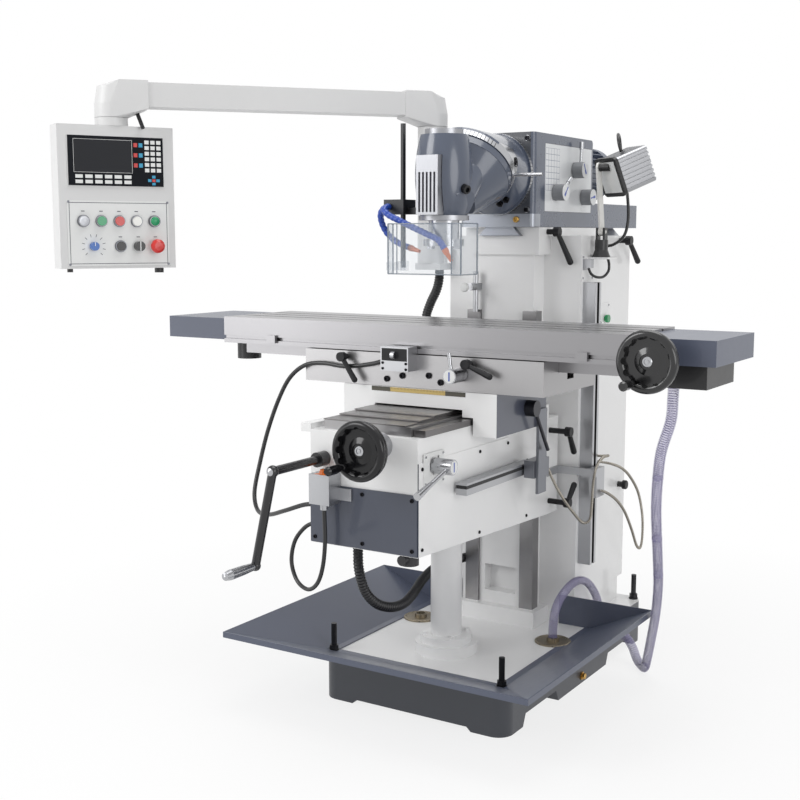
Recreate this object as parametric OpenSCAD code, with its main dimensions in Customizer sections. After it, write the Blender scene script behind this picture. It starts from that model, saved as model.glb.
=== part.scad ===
// Knee-type universal milling machine with ram and double-swivel head.
// The origin is the centre of the base's footprint on the floor.
// X runs along the table to the operator's right, Y towards the column, Z up.

/* [Base] */
// Width of the base casting
base_w = 582; // [570:1:620]
// Length of the base casting
base_l = 972; // [965:1:1020]
// Height of the base casting
base_h = 133; // [120:1:150]
// Corner radius of the base casting
base_r = 45; // [25:1:60]
// Distance of the levelling bolts from the sides of the base
bolt_inset = 24; // [20:1:40]
// Thread diameter of the levelling bolts
bolt_d = 16; // [12:1:20]
// Width of the drip tray over its rim
tray_w = 930; // [860:1:1000]
// Reach of the tray's rim in front of the base's centre
tray_reach = 710; // [660:1:760]
// Height of the tray's rim above the base
tray_rise = 89; // [60:1:100]
// Sheet thickness of the tray
tray_t = 3; // [2:0.5:5]

/* [Column] */
// Width of the column's main body
col_w = 436; // [420:1:450]
// Depth of the column's main body
col_d = 375; // [350:1:378]
// Wall thickness of the column
col_wall = 24; // [18:1:32]
// Height of the column's guide for the ram
col_top = 1324; // [1310:1:1350]
// Distance of the way faces in front of the column's main body
way_reach = 78; // [70:1:90]
// Width over the two vertical ways
way_w = 228; // [216:1:240]
// Width of one vertical way
way_face = 44; // [36:1:50]
// Thickness of the vertical ways
way_t = 38; // [30:1:44]
// Top end of the vertical ways
way_top = 1081; // [1070:1:1120]

/* [Ram] */
// Width of the ram
ram_w = 240; // [220:1:260]
// Height of the gear housing on the ram
ram_h = 267; // [255:1:290]
// Length of the gear housing
ram_l = 423; // [400:1:450]
// Length of the low slide behind the gear housing
slide_l = 369; // [330:1:400]
// Overhang of the ram in front of the ways
ram_over = 39; // [34:1:60]
// Depth of the ram's dovetail
dove_h = 25; // [20:1:30]
// Radius of the speed knobs
knob_r = 24; // [18:1:28]

/* [Head] */
// Distance from the ram's front to the spindle axis
head_reach = 302; // [298:1:312]
// Radius of the spindle housing
head_r = 64; // [60:1:68]
// Radius of the swivel joint at the ram
joint_r = 112; // [100:1:118]
// Radius of the slanted swivel joint
slant_r = 126; // [118:1:130]
// Radius of the spindle in its bearings
spindle_r = 35; // [30:0.5:37]
// Radius of the spindle's face
nose_r = 55; // [48:1:60]
// Gauge diameter of the spindle taper
taper_d = 44.45; // [31.75:0.05:57.15]
// Height of the chip guard
guard_h = 133; // [110:1:138]

/* [Knee] */
// Width of the knee
knee_w = 320; // [300:1:330]
// Reach of the knee's front from the ways
knee_l = 737; // [720:1:760]
// Height of the top face of the knee above the floor
knee_z = 812; // [806:1:818]
// Depth of the knee at its front
knee_h = 294; // [270:1:310]
// Wall thickness of the knee
knee_wall = 24; // [18:1:28]
// Outer diameter of the elevating screw's tube
tube_d = 88; // [76:1:94]
// Radius of the handwheels
wheel_r = 75; // [65:1:80]
// Length of the elevating crank's arm
crank_l = 247; // [220:1:260]

/* [Saddle and table] */
// Width of the saddle
saddle_w = 474; // [460:1:490]
// Length of the saddle across the knee
saddle_l = 293; // [280:1:300]
// Height of the saddle above the knee
saddle_h = 86; // [82:1:90]
// Length of the swivel bed
bed_l = 734; // [700:1:760]
// Height of the swivel bed
bed_h = 89; // [84:1:94]
// Length of the table
table_l = 1250; // [1150:1:1280]
// Width of the table
table_w = 320; // [312:1:330]
// Thickness of the table
table_t = 75; // [68:1:80]
// Distance that the table stands to the left of the spindle at rest
table_shift = 38; // [0:1:60]
// Width of the T-slots
slot_w = 14; // [12:1:18]
// Pitch of the T-slots
slot_pitch = 70; // [60:1:80]

/* [Control arm and lamp] */
// Length of the control arm between its two swivels
arm_l = 957; // [920:1:970]
// Direction of the control arm seen from above, in degrees
arm_turn = 230; // [200:0.5:250]
// Direction of the control box seen from above, in degrees
box_turn = 62; // [40:0.5:90]
// Width of the control box
box_w = 330; // [310:1:350]
// Height of the control box
box_h = 395; // [380:1:410]
// Depth of the control box
box_d = 70; // [55:1:90]
// Length of the lamp's arm
lamp_l = 186; // [160:1:210]

/* [Hidden] */
$fn = 64;

// running clearance of round fits, sliding gap of flat guides, gap between swivelling faces,
// and gap of the tray around the screw's foot
fit = 0.05;
gap = 0.5;
face_gap = 1;
boss_gap = 5;
// radius of the studs that the clamp levers turn on
stud_r = 8;
eps = 0.01;

// column and base
col_front = base_l / 2 - 6 - col_d;
col_back = col_front + col_d;
way_front = col_front - way_reach;
way_back = way_front + way_t;
neck_w = way_w - 28;
plinth_z = base_h + 50;
body_top = col_top - dove_h + 1;
bolt_x = base_w / 2 - bolt_inset;
bolt_y = base_l / 2 - bolt_inset;
tray_z = base_h + tray_rise;
tray_back = col_front - 1;
foot_arch = 12;
side_arch = 33;
// button, cover and scale on the column's right side, and the bracket of the control arm on its left
plate_t = 3;
button_r = 7;
button_y = col_front + 180;
button_z = col_top - 274;
cover_w = 82;
cover_low = col_top - 154;
cover_high = cover_low + 75;
side_knob_z = base_h + 379;
scale_low = base_h + 189;
scale_high = cover_low - 5;
shelf_t = 20;
shelf_z = col_top - 108;
shelf_reach = 38;
rib_h = 74;
tap_x = -80;
tap_z = way_top + 69;

// ram and head
ram_front = way_front - ram_over;
ram_z = col_top + 1;
ram_top = ram_z + ram_h;
ram_back = ram_front + ram_l;
ram_mid = ram_z + ram_h / 2;
axis_z = ram_mid + 15;
dove_top = 90;
dove_foot = 136;
spindle_y = ram_front - head_reach;
ring_t = 12;
spigot_r = 60;
shaft_r = 18;
slant_z = axis_z - 129.5;
slant_s = 201;
barrel = 14;
nose_z = axis_z - 201;
nose_t = 18;
head_low = axis_z - 120;
head_high = axis_z + 93;
// places of the speed knobs behind the ways and above the middle of the ram
knob_a = [237, 37];
knob_b = [101, -33];
knob_c = [302, -42];
rod_x = -129;
rod_r = 8;
// the chip guard's walls around the spindle
guard_t = 4;
guard_left = -118;
guard_right = 110;
guard_front = spindle_y - 99;
guard_low = nose_z - 74;
guard_side = 92;
guard_lip = 28;

// knee, saddle, bed and table
knee_front = way_front - knee_l;
knee_low = knee_z - knee_h;
knee_back_low = knee_low - 33;
lift_down = 220;
// feed motor inside the knee and its plug below
motor_x = 40;
motor_y = knee_front + 170;
motor_z = knee_low + 130;
motor_r = 58;
motor_l = 186;
motor_neck = 40;
plug_x = 100;
plug_y = knee_front + 60;
plug_drop = 38;
screw_y = spindle_y + 24;
rail_w = 260;
rail_h = 24;
cover_h = 13;
saddle_top = knee_z + saddle_h;
saddle_low = knee_z - 27;
saddle_front = screw_y - 158;
bed_z = saddle_top + face_gap;
bed_top = bed_z + bed_h;
bed_front = saddle_front;
bed_w = 322;
spin_r = 90;
table_z = bed_top + 3;
table_top = table_z + table_t;
table_front = bed_front + 1;
table_mid = table_front + table_w / 2;
table_x0 = -table_shift - table_l / 2;
table_x1 = table_x0 + table_l;
slide_w = 146;
slide_h = 36;
screw_r = 14;
screw_z = table_z - 22;
box_z0 = table_z + 7;
box_z1 = table_top - 6;
box_y0 = table_front + 12;
box_y1 = box_y0 + 298;
left_box = 224;
right_box = 210;
wheel_x = table_x1 + 73;
wheel_z = table_z + 20;
cross_x = 56;
cross_z = knee_z - 23;
crank_x = -116;
crank_z = knee_z - 71;
crank_y = knee_front - 213;
crank_lean = 13.4;

// control arm, control box and lamp
post_x = -268;
post_y = way_front + 50;
post_r = 45;
post_top = axis_z + 153;
beam_z = post_top + 64;
beam_h = 67;
beam_w = 80;
arm_end = [post_x + arm_l * cos(arm_turn), post_y + arm_l * sin(arm_turn)];
box_top = post_top - 23;
box_low = box_top - box_h;
face_y = -box_d / 2 - 5;
lamp_x = 250;
lamp_y = col_front + 71;
lamp_z = col_top - 13;
lamp_lean = 10;

// repeated shapes
module slab(x0, x1, y0, y1, z0, z1) translate([x0, y0, z0]) cube([x1 - x0, y1 - y0, z1 - z0]);
module along_x(r, l) rotate([0, 90, 0]) cylinder(r = r, h = l);
module along_y(r, l) rotate([-90, 0, 0]) cylinder(r = r, h = l);
module both_sides() { children(); mirror([1, 0, 0]) children(); }

module round_plate(w, l, r) {
    square([w - 2 * r, l], center = true);
    square([w, l - 2 * r], center = true);
    for (sx = [-1, 1], sy = [-1, 1]) translate([sx * (w / 2 - r), sy * (l / 2 - r)]) circle(r);
}

// Clamp lever with its hub on the Z axis, its handle along +Y and its stud below
module clamp_lever(stud, hub_r, len, grip, lean = 0) {
    translate([0, 0, -stud]) cylinder(r = stud_r, h = stud + 1);
    cylinder(r = hub_r, h = 2 * grip);
    translate([0, 0, grip]) rotate([lean - 90, 0, 0]) {
        cylinder(r1 = grip * 0.75, r2 = grip, h = len);
        translate([0, 0, len]) sphere(grip);
    }
}

// Dished handwheel with finger hollows inside its rim, facing -Y
module handwheel(hub_l, turn) {
    rim_t = 30;
    rotate([90, 0, 0]) difference() {
        rotate_extrude() {
            translate([0, -hub_l]) square([19, hub_l + rim_t * 0.5]);
            translate([0, 3]) square([wheel_r - 8, 9]);
            translate([wheel_r - 18, 0]) square([14, rim_t - 4]);
            translate([wheel_r - 11, rim_t - 11]) circle(11);
            translate([wheel_r - 9, 7]) circle(7);
            translate([19, 12]) polygon([[0, 0], [14, 0], [0, 6]]);
        }
        for (a = [0:30:330]) rotate(a) translate([wheel_r - 24, 0, 12 + eps]) cylinder(r = 9.5, h = rim_t);
        translate([0, 0, rim_t * 0.5 - 4]) cylinder(r = 9, h = 10);
    }
    rotate([90, 0, 0]) rotate(turn) translate([wheel_r - 15, 0, rim_t - 2]) rotate_extrude() {
        polygon([[0, 0], [6, 0], [6, 8], [9, 12], [11.5, 30], [11.5, 58], [8, 64], [0, 64]]);
    }
}

// Route smoothing: a Catmull-Rom curve through the points, in even steps between each pair
function spline_point(p, i, t) =
    let (n = len(p), a = p[max(i - 1, 0)], b = p[i], c = p[i + 1], d = p[min(i + 2, n - 1)])
    0.5 * (2 * b + (c - a) * t + (2 * a - 5 * b + 4 * c - d) * t * t + (3 * b - a - 3 * c + d) * t * t * t);
function spline(p, steps) = concat(
    [for (i = [0:len(p) - 2], k = [0:steps - 1]) spline_point(p, i, k / steps)], [p[len(p) - 1]]);
function unit(v) = v / norm(v);
function tangent(q, i) = unit(q[min(i + 1, len(q) - 1)] - q[max(i - 1, 0)]);
side_ref = unit([0.53, 0.31, 0.16]);
function ring(c, t, r, sides) =
    let (u = unit(cross(t, side_ref)), v = cross(t, u))
    [for (k = [0:sides - 1]) c + r * (cos(360 * k / sides) * u + sin(360 * k / sides) * v)];

// Tube swept along a smoothed route, closed by a cap at each end
module tube(q, r, sides) {
    n = len(q);
    pts = concat([for (i = [0:n - 1]) each ring(q[i], tangent(q, i), r, sides)], [q[0], q[n - 1]]);
    walls = [for (i = [0:n - 2], k = [0:sides - 1])
        let (a = i * sides + k, b = i * sides + (k + 1) % sides)
        each [[a, a + sides, b], [b, a + sides, b + sides]]];
    low = [for (k = [0:sides - 1]) [n * sides, k, (k + 1) % sides]];
    high = [for (k = [0:sides - 1])
        [n * sides + 1, (n - 1) * sides + (k + 1) % sides, (n - 1) * sides + k]];
    polyhedron(points = pts, faces = concat(walls, low, high));
}

// Ribbed hose: the same sweep with a rib at every second pair of rings and a bore right through
module ribbed_hose(q, r, depth, bore, sides) {
    n = len(q);
    outer = [for (i = [0:n - 1]) each ring(q[i], tangent(q, i), r - (i % 4 < 2 ? 0 : depth), sides)];
    inner = [for (i = [0:n - 1]) each ring(q[i], tangent(q, i), bore, sides)];
    m = n * sides;
    skin = [for (i = [0:n - 2], k = [0:sides - 1])
        let (a = i * sides + k, b = i * sides + (k + 1) % sides)
        each [[a, a + sides, b], [b, a + sides, b + sides],
              [m + a, m + b, m + a + sides], [m + b, m + b + sides, m + a + sides]]];
    ends = [for (k = [0:sides - 1])
        let (j = (k + 1) % sides, e = (n - 1) * sides)
        each [[k, j, m + k], [j, m + j, m + k], [e + k, m + e + k, e + j], [e + j, m + e + k, m + e + j]]];
    polyhedron(points = concat(outer, inner), faces = concat(skin, ends));
}

// Cord routes
bed_conduit_route = [[-89, -456, 966], [-108, -456, 965], [-150, -455, 955], [-228, -455, 945],
    [-300, -455, 950], [-360, -458, 942], [-410, -464, 905], [-447, -470, 841], [-475, -484, 755],
    [-489, -505, 665], [-484, -540, 580], [-440, -580, 540], [-370, -620, 545], [-290, -655, 572],
    [-215, -675, 600], [-180, -680, 608], [-161, -680, 609]];
box_cable_route = [[-97, -741, 614], [-96, -741, 590], [-95, -741, 530], [-105, -738, 465], [-130, -728, 415],
    [-173, -710, 388], [-220, -694, 400], [-247, -682, 445], [-240, -676, 500], [-210, -672, 540],
    [-180, -670, 556], [-161, -670, 557]];
knee_conduit_route = [[-90, -600, 511], [-90, -600, 478], [-87, -600, 426], [-81, -580, 365],
    [-70, -540, 322], [-62, -480, 298], [-66, -410, 290], [-84, -330, 296], [-108, -240, 310],
    [-125, -150, 318], [-132, -60, 316], [-132, 30, 308], [-130, 70, 305], [-130, 104, 305]];
arm_conduit_route = [[-262, 112, 1195], [-263, 112, 1165], [-275, 116, 1130], [-300, 123, 1090],
    [-320, 130, 1045], [-322, 142, 995], [-305, 162, 945], [-275, 185, 910], [-246, 201, 894],
    [-219, 203, 893]];
cross_reader_route = [[222, -129, 659], [223, -119.5, 657.5], [226.5, -108, 645], [232, -92, 615],
    [243, -52, 560], [256, 0, 505],
    [268, 40, 470], [282, 58, 478], [292, 48, 530], [298, 40, 590], [302, 52, 638], [304, 92, 658],
    [300, 140, 656], [280, 176, 648], [250, 186, 644], [219, 188, 643]];
knee_reader_route = [[288, 125, 552], [299, 128, 549], [303, 165, 532], [304, 215, 505], [306, 270, 462],
    [306, 330, 395], [306, 375, 335], [306, 408, 320], [306, 424, 350], [306, 420, 420], [304, 385, 500],
    [300, 325, 560], [292, 275, 595], [275, 240, 612], [250, 225, 618], [219, 223, 620]];
drain_route = [[664, -340, 939], [663, -340, 905], [658, -336, 850], [632, -325, 770], [612, -290, 690],
    [592, -240, 605], [572, -175, 520], [548, -95, 425], [520, -10, 330], [490, 60, 230], [462, 105, 135],
    [440, 135, 60], [424, 160, 24], [402, 190, 17], [378, 215, 25], [358, 228, 55], [334, 234, 80],
    [310, 236, 86], [292, 236, 86]];
strainer_route = [[227, -64, 137], [227, -64, 175], [229, -52, 228], [235, -5, 268], [241, 60, 284],
    [246, 125, 268], [250, 180, 222], [252, 208, 175], [252, 210, 134]];
lamp_loop_route = [[262, 200, 1230], [262, 208, 1216], [262, 204, 1196], [256, 180, 1180], [246, 152, 1180],
    [236, 136, 1190], [231, 130, 1206]];
lamp_cable_route = [[298, 192, 1541], [294, 187, 1558], [287, 194, 1580], [278, 216, 1592], [272, 242, 1582],
    [270, 260, 1545], [276, 270, 1490], [286, 278, 1420], [288, 284, 1350], [278, 280, 1300],
    [250, 270, 1274], [219, 266, 1268]];

module base_casting() color([0.24, 0.25, 0.27]) difference() {
    union() {
        linear_extrude(base_h) round_plate(base_w, base_l, base_r);
        translate([0, screw_y, base_h - 1]) cylinder(r = tube_d, h = 33);
    }
    for (sx = [-1, 1], sy = [-1, 1]) translate([sx * bolt_x, sy * bolt_y, -1])
        cylinder(r = bolt_d / 2 + 0.3, h = base_h + 2);
    for (sy = [-1, 1]) translate([0, sy * base_l / 2, 0]) rotate([90, 0, 0])
        linear_extrude(170, center = true)
            polygon([[-190, -1], [190, -1], [176, foot_arch], [-176, foot_arch]]);
    for (sx = [-1, 1], y = [-270, 295]) translate([sx * base_w / 2, y, 0]) rotate([90, 0, 90])
        linear_extrude(140, center = true)
            polygon([[-112, -1], [112, -1], [96, side_arch], [-96, side_arch]]);
    translate([base_w / 2 - 12, 0, 23]) along_x(8, 20);
}

module tray_panel(inner, outer) hull() {
    translate([0, 0, base_h]) linear_extrude(tray_t) polygon(inner);
    translate([0, 0, tray_z - tray_t]) linear_extrude(tray_t) polygon(outer);
}

module drip_tray() color([0.27, 0.29, 0.33]) difference() {
    ix = base_w / 2 - 12;
    iy = base_l / 2 - 12;
    ox = tray_w / 2;
    lip = 16;
    union() {
        both_sides() {
            tray_panel([[ix - 2, -iy], [ix, -iy], [ix, tray_back], [ix - 2, tray_back]],
                       [[ox - 2, -tray_reach], [ox, -tray_reach], [ox, tray_back], [ox - 2, tray_back]]);
            slab(ix - 22, ix, -iy, tray_back, base_h, base_h + tray_t);
            slab(ox - tray_t, ox, -tray_reach, tray_back, tray_z - lip, tray_z);
            translate([0, tray_back, 0]) rotate([90, 0, 0]) linear_extrude(tray_t)
                polygon([[ix - 110, base_h], [ix, base_h], [ox, tray_z - tray_t], [ox, tray_z],
                         [ix - 110, tray_z]]);
        }
        tray_panel([[-ix, -iy], [ix, -iy], [ix, -iy + 2], [-ix, -iy + 2]],
                   [[-ox, -tray_reach], [ox, -tray_reach], [ox, -tray_reach + 2], [-ox, -tray_reach + 2]]);
        slab(-ix, ix, -iy, -iy + 22, base_h, base_h + tray_t);
        slab(-ox, ox, -tray_reach, -tray_reach + tray_t, tray_z - lip, tray_z);
    }
    for (sx = [-1, 1]) translate([sx * bolt_x, -bolt_y, base_h - 1]) cylinder(r = bolt_d, h = tray_t + 20);
    translate([0, screw_y, base_h - 1]) cylinder(r = tube_d + boss_gap, h = tray_rise + 2);
}

module levelling_bolts() color([0.16, 0.16, 0.17])
    for (sx = [-1, 1], sy = [-1, 1]) translate([sx * bolt_x, sy * bolt_y, 0]) {
        translate([0, 0, 2]) cylinder(r = bolt_d / 2, h = base_h + 78);
        translate([0, 0, base_h]) cylinder(r = bolt_d * 0.9, h = 4);
        translate([0, 0, base_h + 4]) cylinder(r = bolt_d * 0.85, h = bolt_d * 0.8, $fn = 6);
    }

module column() color([0.93, 0.93, 0.92]) difference() {
    guide = ram_w / 2;
    union() {
        slab(-col_w / 2, col_w / 2, col_front, col_back, base_h, body_top);
        slab(-neck_w / 2, neck_w / 2, way_front + 10, col_front + 1, plinth_z - 1, body_top - 40);
        slab(-way_w / 2 - 16, way_w / 2 + 16, way_front - 21, col_front + 1, base_h, plinth_z);
        both_sides() slab(way_w / 2 - way_face, way_w / 2, way_front, way_back, plinth_z, way_top);
        slab(-guide, guide, way_front, col_back, body_top - 55, col_top);
    }
    slab(-col_w / 2 + col_wall, col_w / 2 - col_wall, col_front + col_wall, col_back - col_wall,
         base_h + col_wall, body_top - 55 - col_wall);
    slab(-52, 52, way_front, way_front + 50, plinth_z + 38, plinth_z + 120);
    translate([0, col_back + 1, 0]) rotate([90, 0, 0]) linear_extrude(col_back - way_front + 2)
        polygon([[-dove_top / 2 - gap, col_top + 1], [-dove_top / 2 - gap, col_top],
                 [-dove_foot / 2 - gap, col_top - dove_h], [dove_foot / 2 + gap, col_top - dove_h],
                 [dove_top / 2 + gap, col_top], [dove_top / 2 + gap, col_top + 1]]);
    both_sides() slab(col_w / 2 - 30, col_w / 2 + 1, col_back - 40, col_back + 1, base_h - 1, base_h + 72);
    translate([guide - 15, way_front + 55, col_top - 13]) along_x(8 + fit, 20);
    translate([col_w / 2 - 15, col_back - 86, body_top - 15]) along_x(8 + fit, 20);
    translate([col_w / 2 - 20, button_y, button_z]) along_x(button_r + fit, 40);
}

module column_fittings() color([0.9, 0.9, 0.9]) {
    side = col_w / 2;
    slab(side, side + plate_t, col_front, col_front + cover_w, cover_low, cover_high);
    difference() {
        slab(side, side + plate_t, button_y - 38, button_y + 30, button_z - 16, button_z + 47);
        translate([side - 1, button_y, button_z]) along_x(button_r + fit, 8);
    }
    translate([side, col_front + 324, side_knob_z]) along_x(9, 16);
    // vertical measuring scale in its aluminium housing
    difference() {
        slab(side, side + 40, col_front + 17, col_front + 57, scale_low, scale_high);
        slab(side + 26, side + 41, col_front + 30, col_front + 44, scale_low - 1, scale_high + 1);
    }
    // lamp foot on its bracket, with the terminal box of its lead
    slab(side, side + 66, lamp_y - 32, lamp_y + 36, lamp_z - 79, lamp_z - 73);
    translate([lamp_x, lamp_y, lamp_z - 73]) cylinder(r1 = 27, r2 = 19, h = 20);
    translate([lamp_x, lamp_y, lamp_z - 53]) cylinder(r = 19, h = 30);
    difference() {
        for (x = [lamp_x - 11, lamp_x + 11])
            slab(x - 3, x + 3, lamp_y - 11, lamp_y + 11, lamp_z - 24, lamp_z + 12);
        translate([lamp_x - 20, lamp_y, lamp_z]) along_x(6 + fit, 40);
    }
    slab(side, side + 24, col_front + 12, col_front + 36, scale_high + 42, lamp_z - 79);
    // bracket and post of the control arm
    slab(post_x - shelf_reach, -side, post_y - shelf_reach, post_y + 52, shelf_z - shelf_t, shelf_z);
    slab(post_x - shelf_reach, -side, post_y - 8, post_y + 8, shelf_z, shelf_z + rib_h);
    translate([post_x, post_y, shelf_z]) cylinder(r = post_r, h = post_top - shelf_z);
    translate([post_x, post_y, post_top]) cylinder(r = post_r - 7, h = 22);
    // coolant tap on the front of the column
    translate([tap_x, way_front - 12, tap_z - 75]) cylinder(r = 8, h = 120);
    slab(tap_x - 10, tap_x + 10, way_front - 22, way_front + 10, tap_z - 10, tap_z + 10);
    translate([tap_x, way_front - 22 - 26, tap_z]) along_y(11, 26);
}

module screw_tube() color([0.94, 0.94, 0.93]) translate([0, screw_y, base_h + 32]) difference() {
    union() {
        cylinder(r = tube_d / 2 + 29, h = 20);
        cylinder(r = tube_d / 2, h = knee_low - base_h - 32 + 10);
        for (a = [45:90:315]) rotate(a) translate([tube_d / 2 + 18, 0, 20]) cylinder(r = 8, h = 8, $fn = 6);
    }
    translate([0, 0, -1]) cylinder(r = 24, h = 700);
}

module elevating_screw() color([0.6, 0.6, 0.62]) translate([0, screw_y, base_h + 34])
    cylinder(r = 20, h = knee_z - knee_wall - lift_down - 10 - base_h - 34);

module column_button() color([0.1, 0.55, 0.25]) translate([col_w / 2 + 7, button_y, button_z]) {
    along_x(12, 9);
    translate([-20, 0, 0]) along_x(7, 20);
}

module side_lever(x, y, z, turn, stud, len, lean = 0)
    translate([x, y, z]) rotate([0, 90, 0]) rotate([0, 0, turn])
        translate([0, 0, stud]) clamp_lever(stud + 12, 14, len, 9, lean);

module ram_clamp_front() color([0.08, 0.08, 0.09])
    side_lever(ram_w / 2, way_front + 55, col_top - 13, -84, 22, 96, 24);
module ram_clamp_rear() color([0.08, 0.08, 0.09])
    side_lever(col_w / 2, col_back - 86, body_top - 15, -40, 22, 100);

module ram_housing() color([0.3, 0.31, 0.34]) difference() {
    hw = ram_w / 2;
    tail = dove_top + (dove_foot - dove_top) * (dove_h - 1) / dove_h;
    r = 14;
    union() {
        translate([0, (ram_front + ram_back) / 2, ram_z]) linear_extrude(ram_h) round_plate(ram_w, ram_l, r);
        slab(-hw, hw, ram_back - r, ram_back + slide_l, ram_z, ram_z + 75);
        translate([0, ram_back + slide_l - 20, 0]) rotate([90, 0, 0]) linear_extrude(ram_l + slide_l - 40)
            polygon([[-dove_top / 2, ram_z + 1], [-dove_top / 2, col_top], [-tail / 2, col_top - dove_h + 1],
                     [tail / 2, col_top - dove_h + 1], [dove_top / 2, col_top], [dove_top / 2, ram_z + 1]]);
        translate([0, ram_front - ring_t, axis_z]) along_y(joint_r + 5, ring_t + 1);
        for (sx = [-1, 1], z = [ram_z + 48, ram_top - 18])
            translate([sx * (hw - 20), ram_front - 7, z]) along_y(8, 8);
    }
    slab(-hw + 20, hw - 20, ram_front + 40, ram_back - 20, ram_z + 25, ram_top - 20);
    translate([0, ram_front - ring_t - 1, axis_z]) along_y(spigot_r + fit, 34);
    translate([0, ram_front, axis_z]) along_y(shaft_r + fit, ram_l + 1);
    translate([0, ram_back, ram_top]) rotate([45, 0, 0]) cube([ram_w + 2, 26, 26], center = true);
    for (k = [knob_a, knob_b, knob_c])
        translate([hw - 30, way_front + k[0], ram_mid + k[1]]) along_x(8 + fit, 40);
}

module main_motor() color([0.3, 0.31, 0.34]) translate([0, ram_back + 1, ram_mid + 42]) rotate([-90, 0, 0]) {
    difference() {
        union() {
            cylinder(r = 80, h = 12);
            translate([0, 0, 12]) linear_extrude(190) {
                circle(70);
                for (a = [0:15:345]) rotate(a) translate([68, -1.5]) square([18, 3]);
            }
            translate([0, 0, 202]) cylinder(r = 86, h = 40);
        }
        translate([0, 0, 232]) for (a = [0:30:330]) rotate(a) translate([52, 0, 0]) cylinder(r = 7, h = 20);
        translate([0, ram_mid + 42 - axis_z, -1]) cylinder(r = shaft_r + 2, h = 20);
    }
}

module drive_shaft() color([0.62, 0.62, 0.64]) translate([0, ram_front + 14, axis_z]) {
    along_y(shaft_r, ram_l - 16);
    translate([0, 96, 0]) along_y(70, 40);
}

module speed_knob(k, turn, lever) translate([ram_w / 2 + 2, way_front + k[0], ram_mid + k[1]]) {
    along_x(knob_r, 34);
    translate([-28, 0, 0]) along_x(8, 30);
    if (lever > 0) rotate([turn, 0, 0]) translate([18, 0, 0]) {
        cylinder(r = 5, h = lever);
        translate([0, 0, lever - 24]) cylinder(r = 6.5, h = 24);
    }
}
module speed_knob_upper() color([0.55, 0.56, 0.58]) speed_knob(knob_a, -4, 84);
module speed_knob_left() color([0.55, 0.56, 0.58]) speed_knob(knob_b, -58, 80);
module speed_knob_right() color([0.55, 0.56, 0.58]) speed_knob(knob_c, 0, 0);

// frame of the slanted swivel: its +Z runs along the swivel's axis, down to where that meets the spindle axis
module slant() translate([0, spindle_y, slant_z]) rotate([135, 0, 0]) children();

module head_carrier() color([0.3, 0.31, 0.34]) difference() {
    union() {
        hull() {
            translate([0, ram_front - ring_t - 12, axis_z]) along_y(joint_r, 12 - face_gap, $fn = 48);
            slant() translate([0, 0, -slant_s - 26]) cylinder(r = slant_r - 2, h = 14, $fn = 48);
        }
        translate([0, ram_front - ring_t - 10, axis_z]) along_y(spigot_r, 30);
        slant() translate([0, 0, -slant_s - 16]) cylinder(r = slant_r, h = 16);
        translate([joint_r - 30, ram_front - 126, axis_z - 8]) along_x(5, 124);
    }
    slant() translate([0, 0, -slant_s - 24]) cylinder(r = 30 + fit, h = 25);
}

// Housing of the spindle: a barrel that swells by a little in its middle
module head_barrel() translate([0, spindle_y, head_low]) rotate_extrude() {
    tall = head_high - head_low;
    sweep_r = (tall * tall / 4 + barrel * barrel) / (2 * barrel);
    square([head_r, tall]);
    intersection() {
        translate([head_r + barrel - sweep_r, tall / 2]) circle(sweep_r, $fn = 180);
        square([head_r + barrel, tall]);
    }
}

// middle of the flat on the head's slanted rib, and the way the flat faces
flat_at = [head_r + 11, spindle_y - 18, head_low + 63];
flat_turn = [0, 108, -19];

module spindle_head() color([0.3, 0.31, 0.34]) difference() {
    union() {
        difference() {
            head_barrel();
            slant() translate([-200, -200, -slant_s - 200 + face_gap]) cube([400, 400, 200]);
        }
        difference() {
            union() {
                slant() translate([0, 0, -slant_s + face_gap]) cylinder(r = slant_r - 3, h = 22);
                slant() translate([0, 0, -slant_s + 20])
                    cylinder(r1 = slant_r - 3, r2 = head_r, h = slant_s - 90);
                slant() translate([38, 36, -slant_s + 10]) cylinder(r = 46, h = slant_s - 24);
            }
            slab(-200, 200, spindle_y - 300, spindle_y + 300, head_low - 200, head_low + 6);
            translate([0, spindle_y, head_high - 1]) cylinder(r = head_r - 8, h = 100);
            translate(flat_at) rotate(flat_turn) translate([-200, -200, 0]) cube([400, 400, 200]);
        }
        slant() translate([0, 0, -slant_s - 20]) cylinder(r = 30, h = 60);
    }
    translate([0, spindle_y, head_low - 1]) cylinder(r = spindle_r + 5, h = 200);
    slab(-34, 34, spindle_y - head_r - 40, spindle_y - head_r + 6, head_low - 1, head_high - 56);
}

module head_rings() color([0.75, 0.76, 0.78]) {
    translate([0, spindle_y, head_high]) cylinder(r = head_r - 12, h = 14);
    translate([0, spindle_y, head_low - 13]) difference() {
        cylinder(r = head_r + 4, h = 13);
        translate([0, 0, -1]) cylinder(r = spindle_r + 10, h = 20);
    }
    for (z = [head_low + 8, head_low + 140]) translate([0, spindle_y, z]) difference() {
        cylinder(r = spindle_r + 5, h = 26);
        translate([0, 0, -1]) cylinder(r = spindle_r + fit, h = 30);
    }
    // vented front plate with five slots
    difference() {
        slab(-33, 33, spindle_y - head_r - 26, spindle_y - head_r + 5, head_low + 1, head_high - 57);
        for (i = [-2:2]) slab(i * 11.5 - 3, i * 11.5 + 3, spindle_y - head_r - 27, spindle_y - head_r - 14,
                              head_low + 8, head_low + 112);
    }
}

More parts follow.
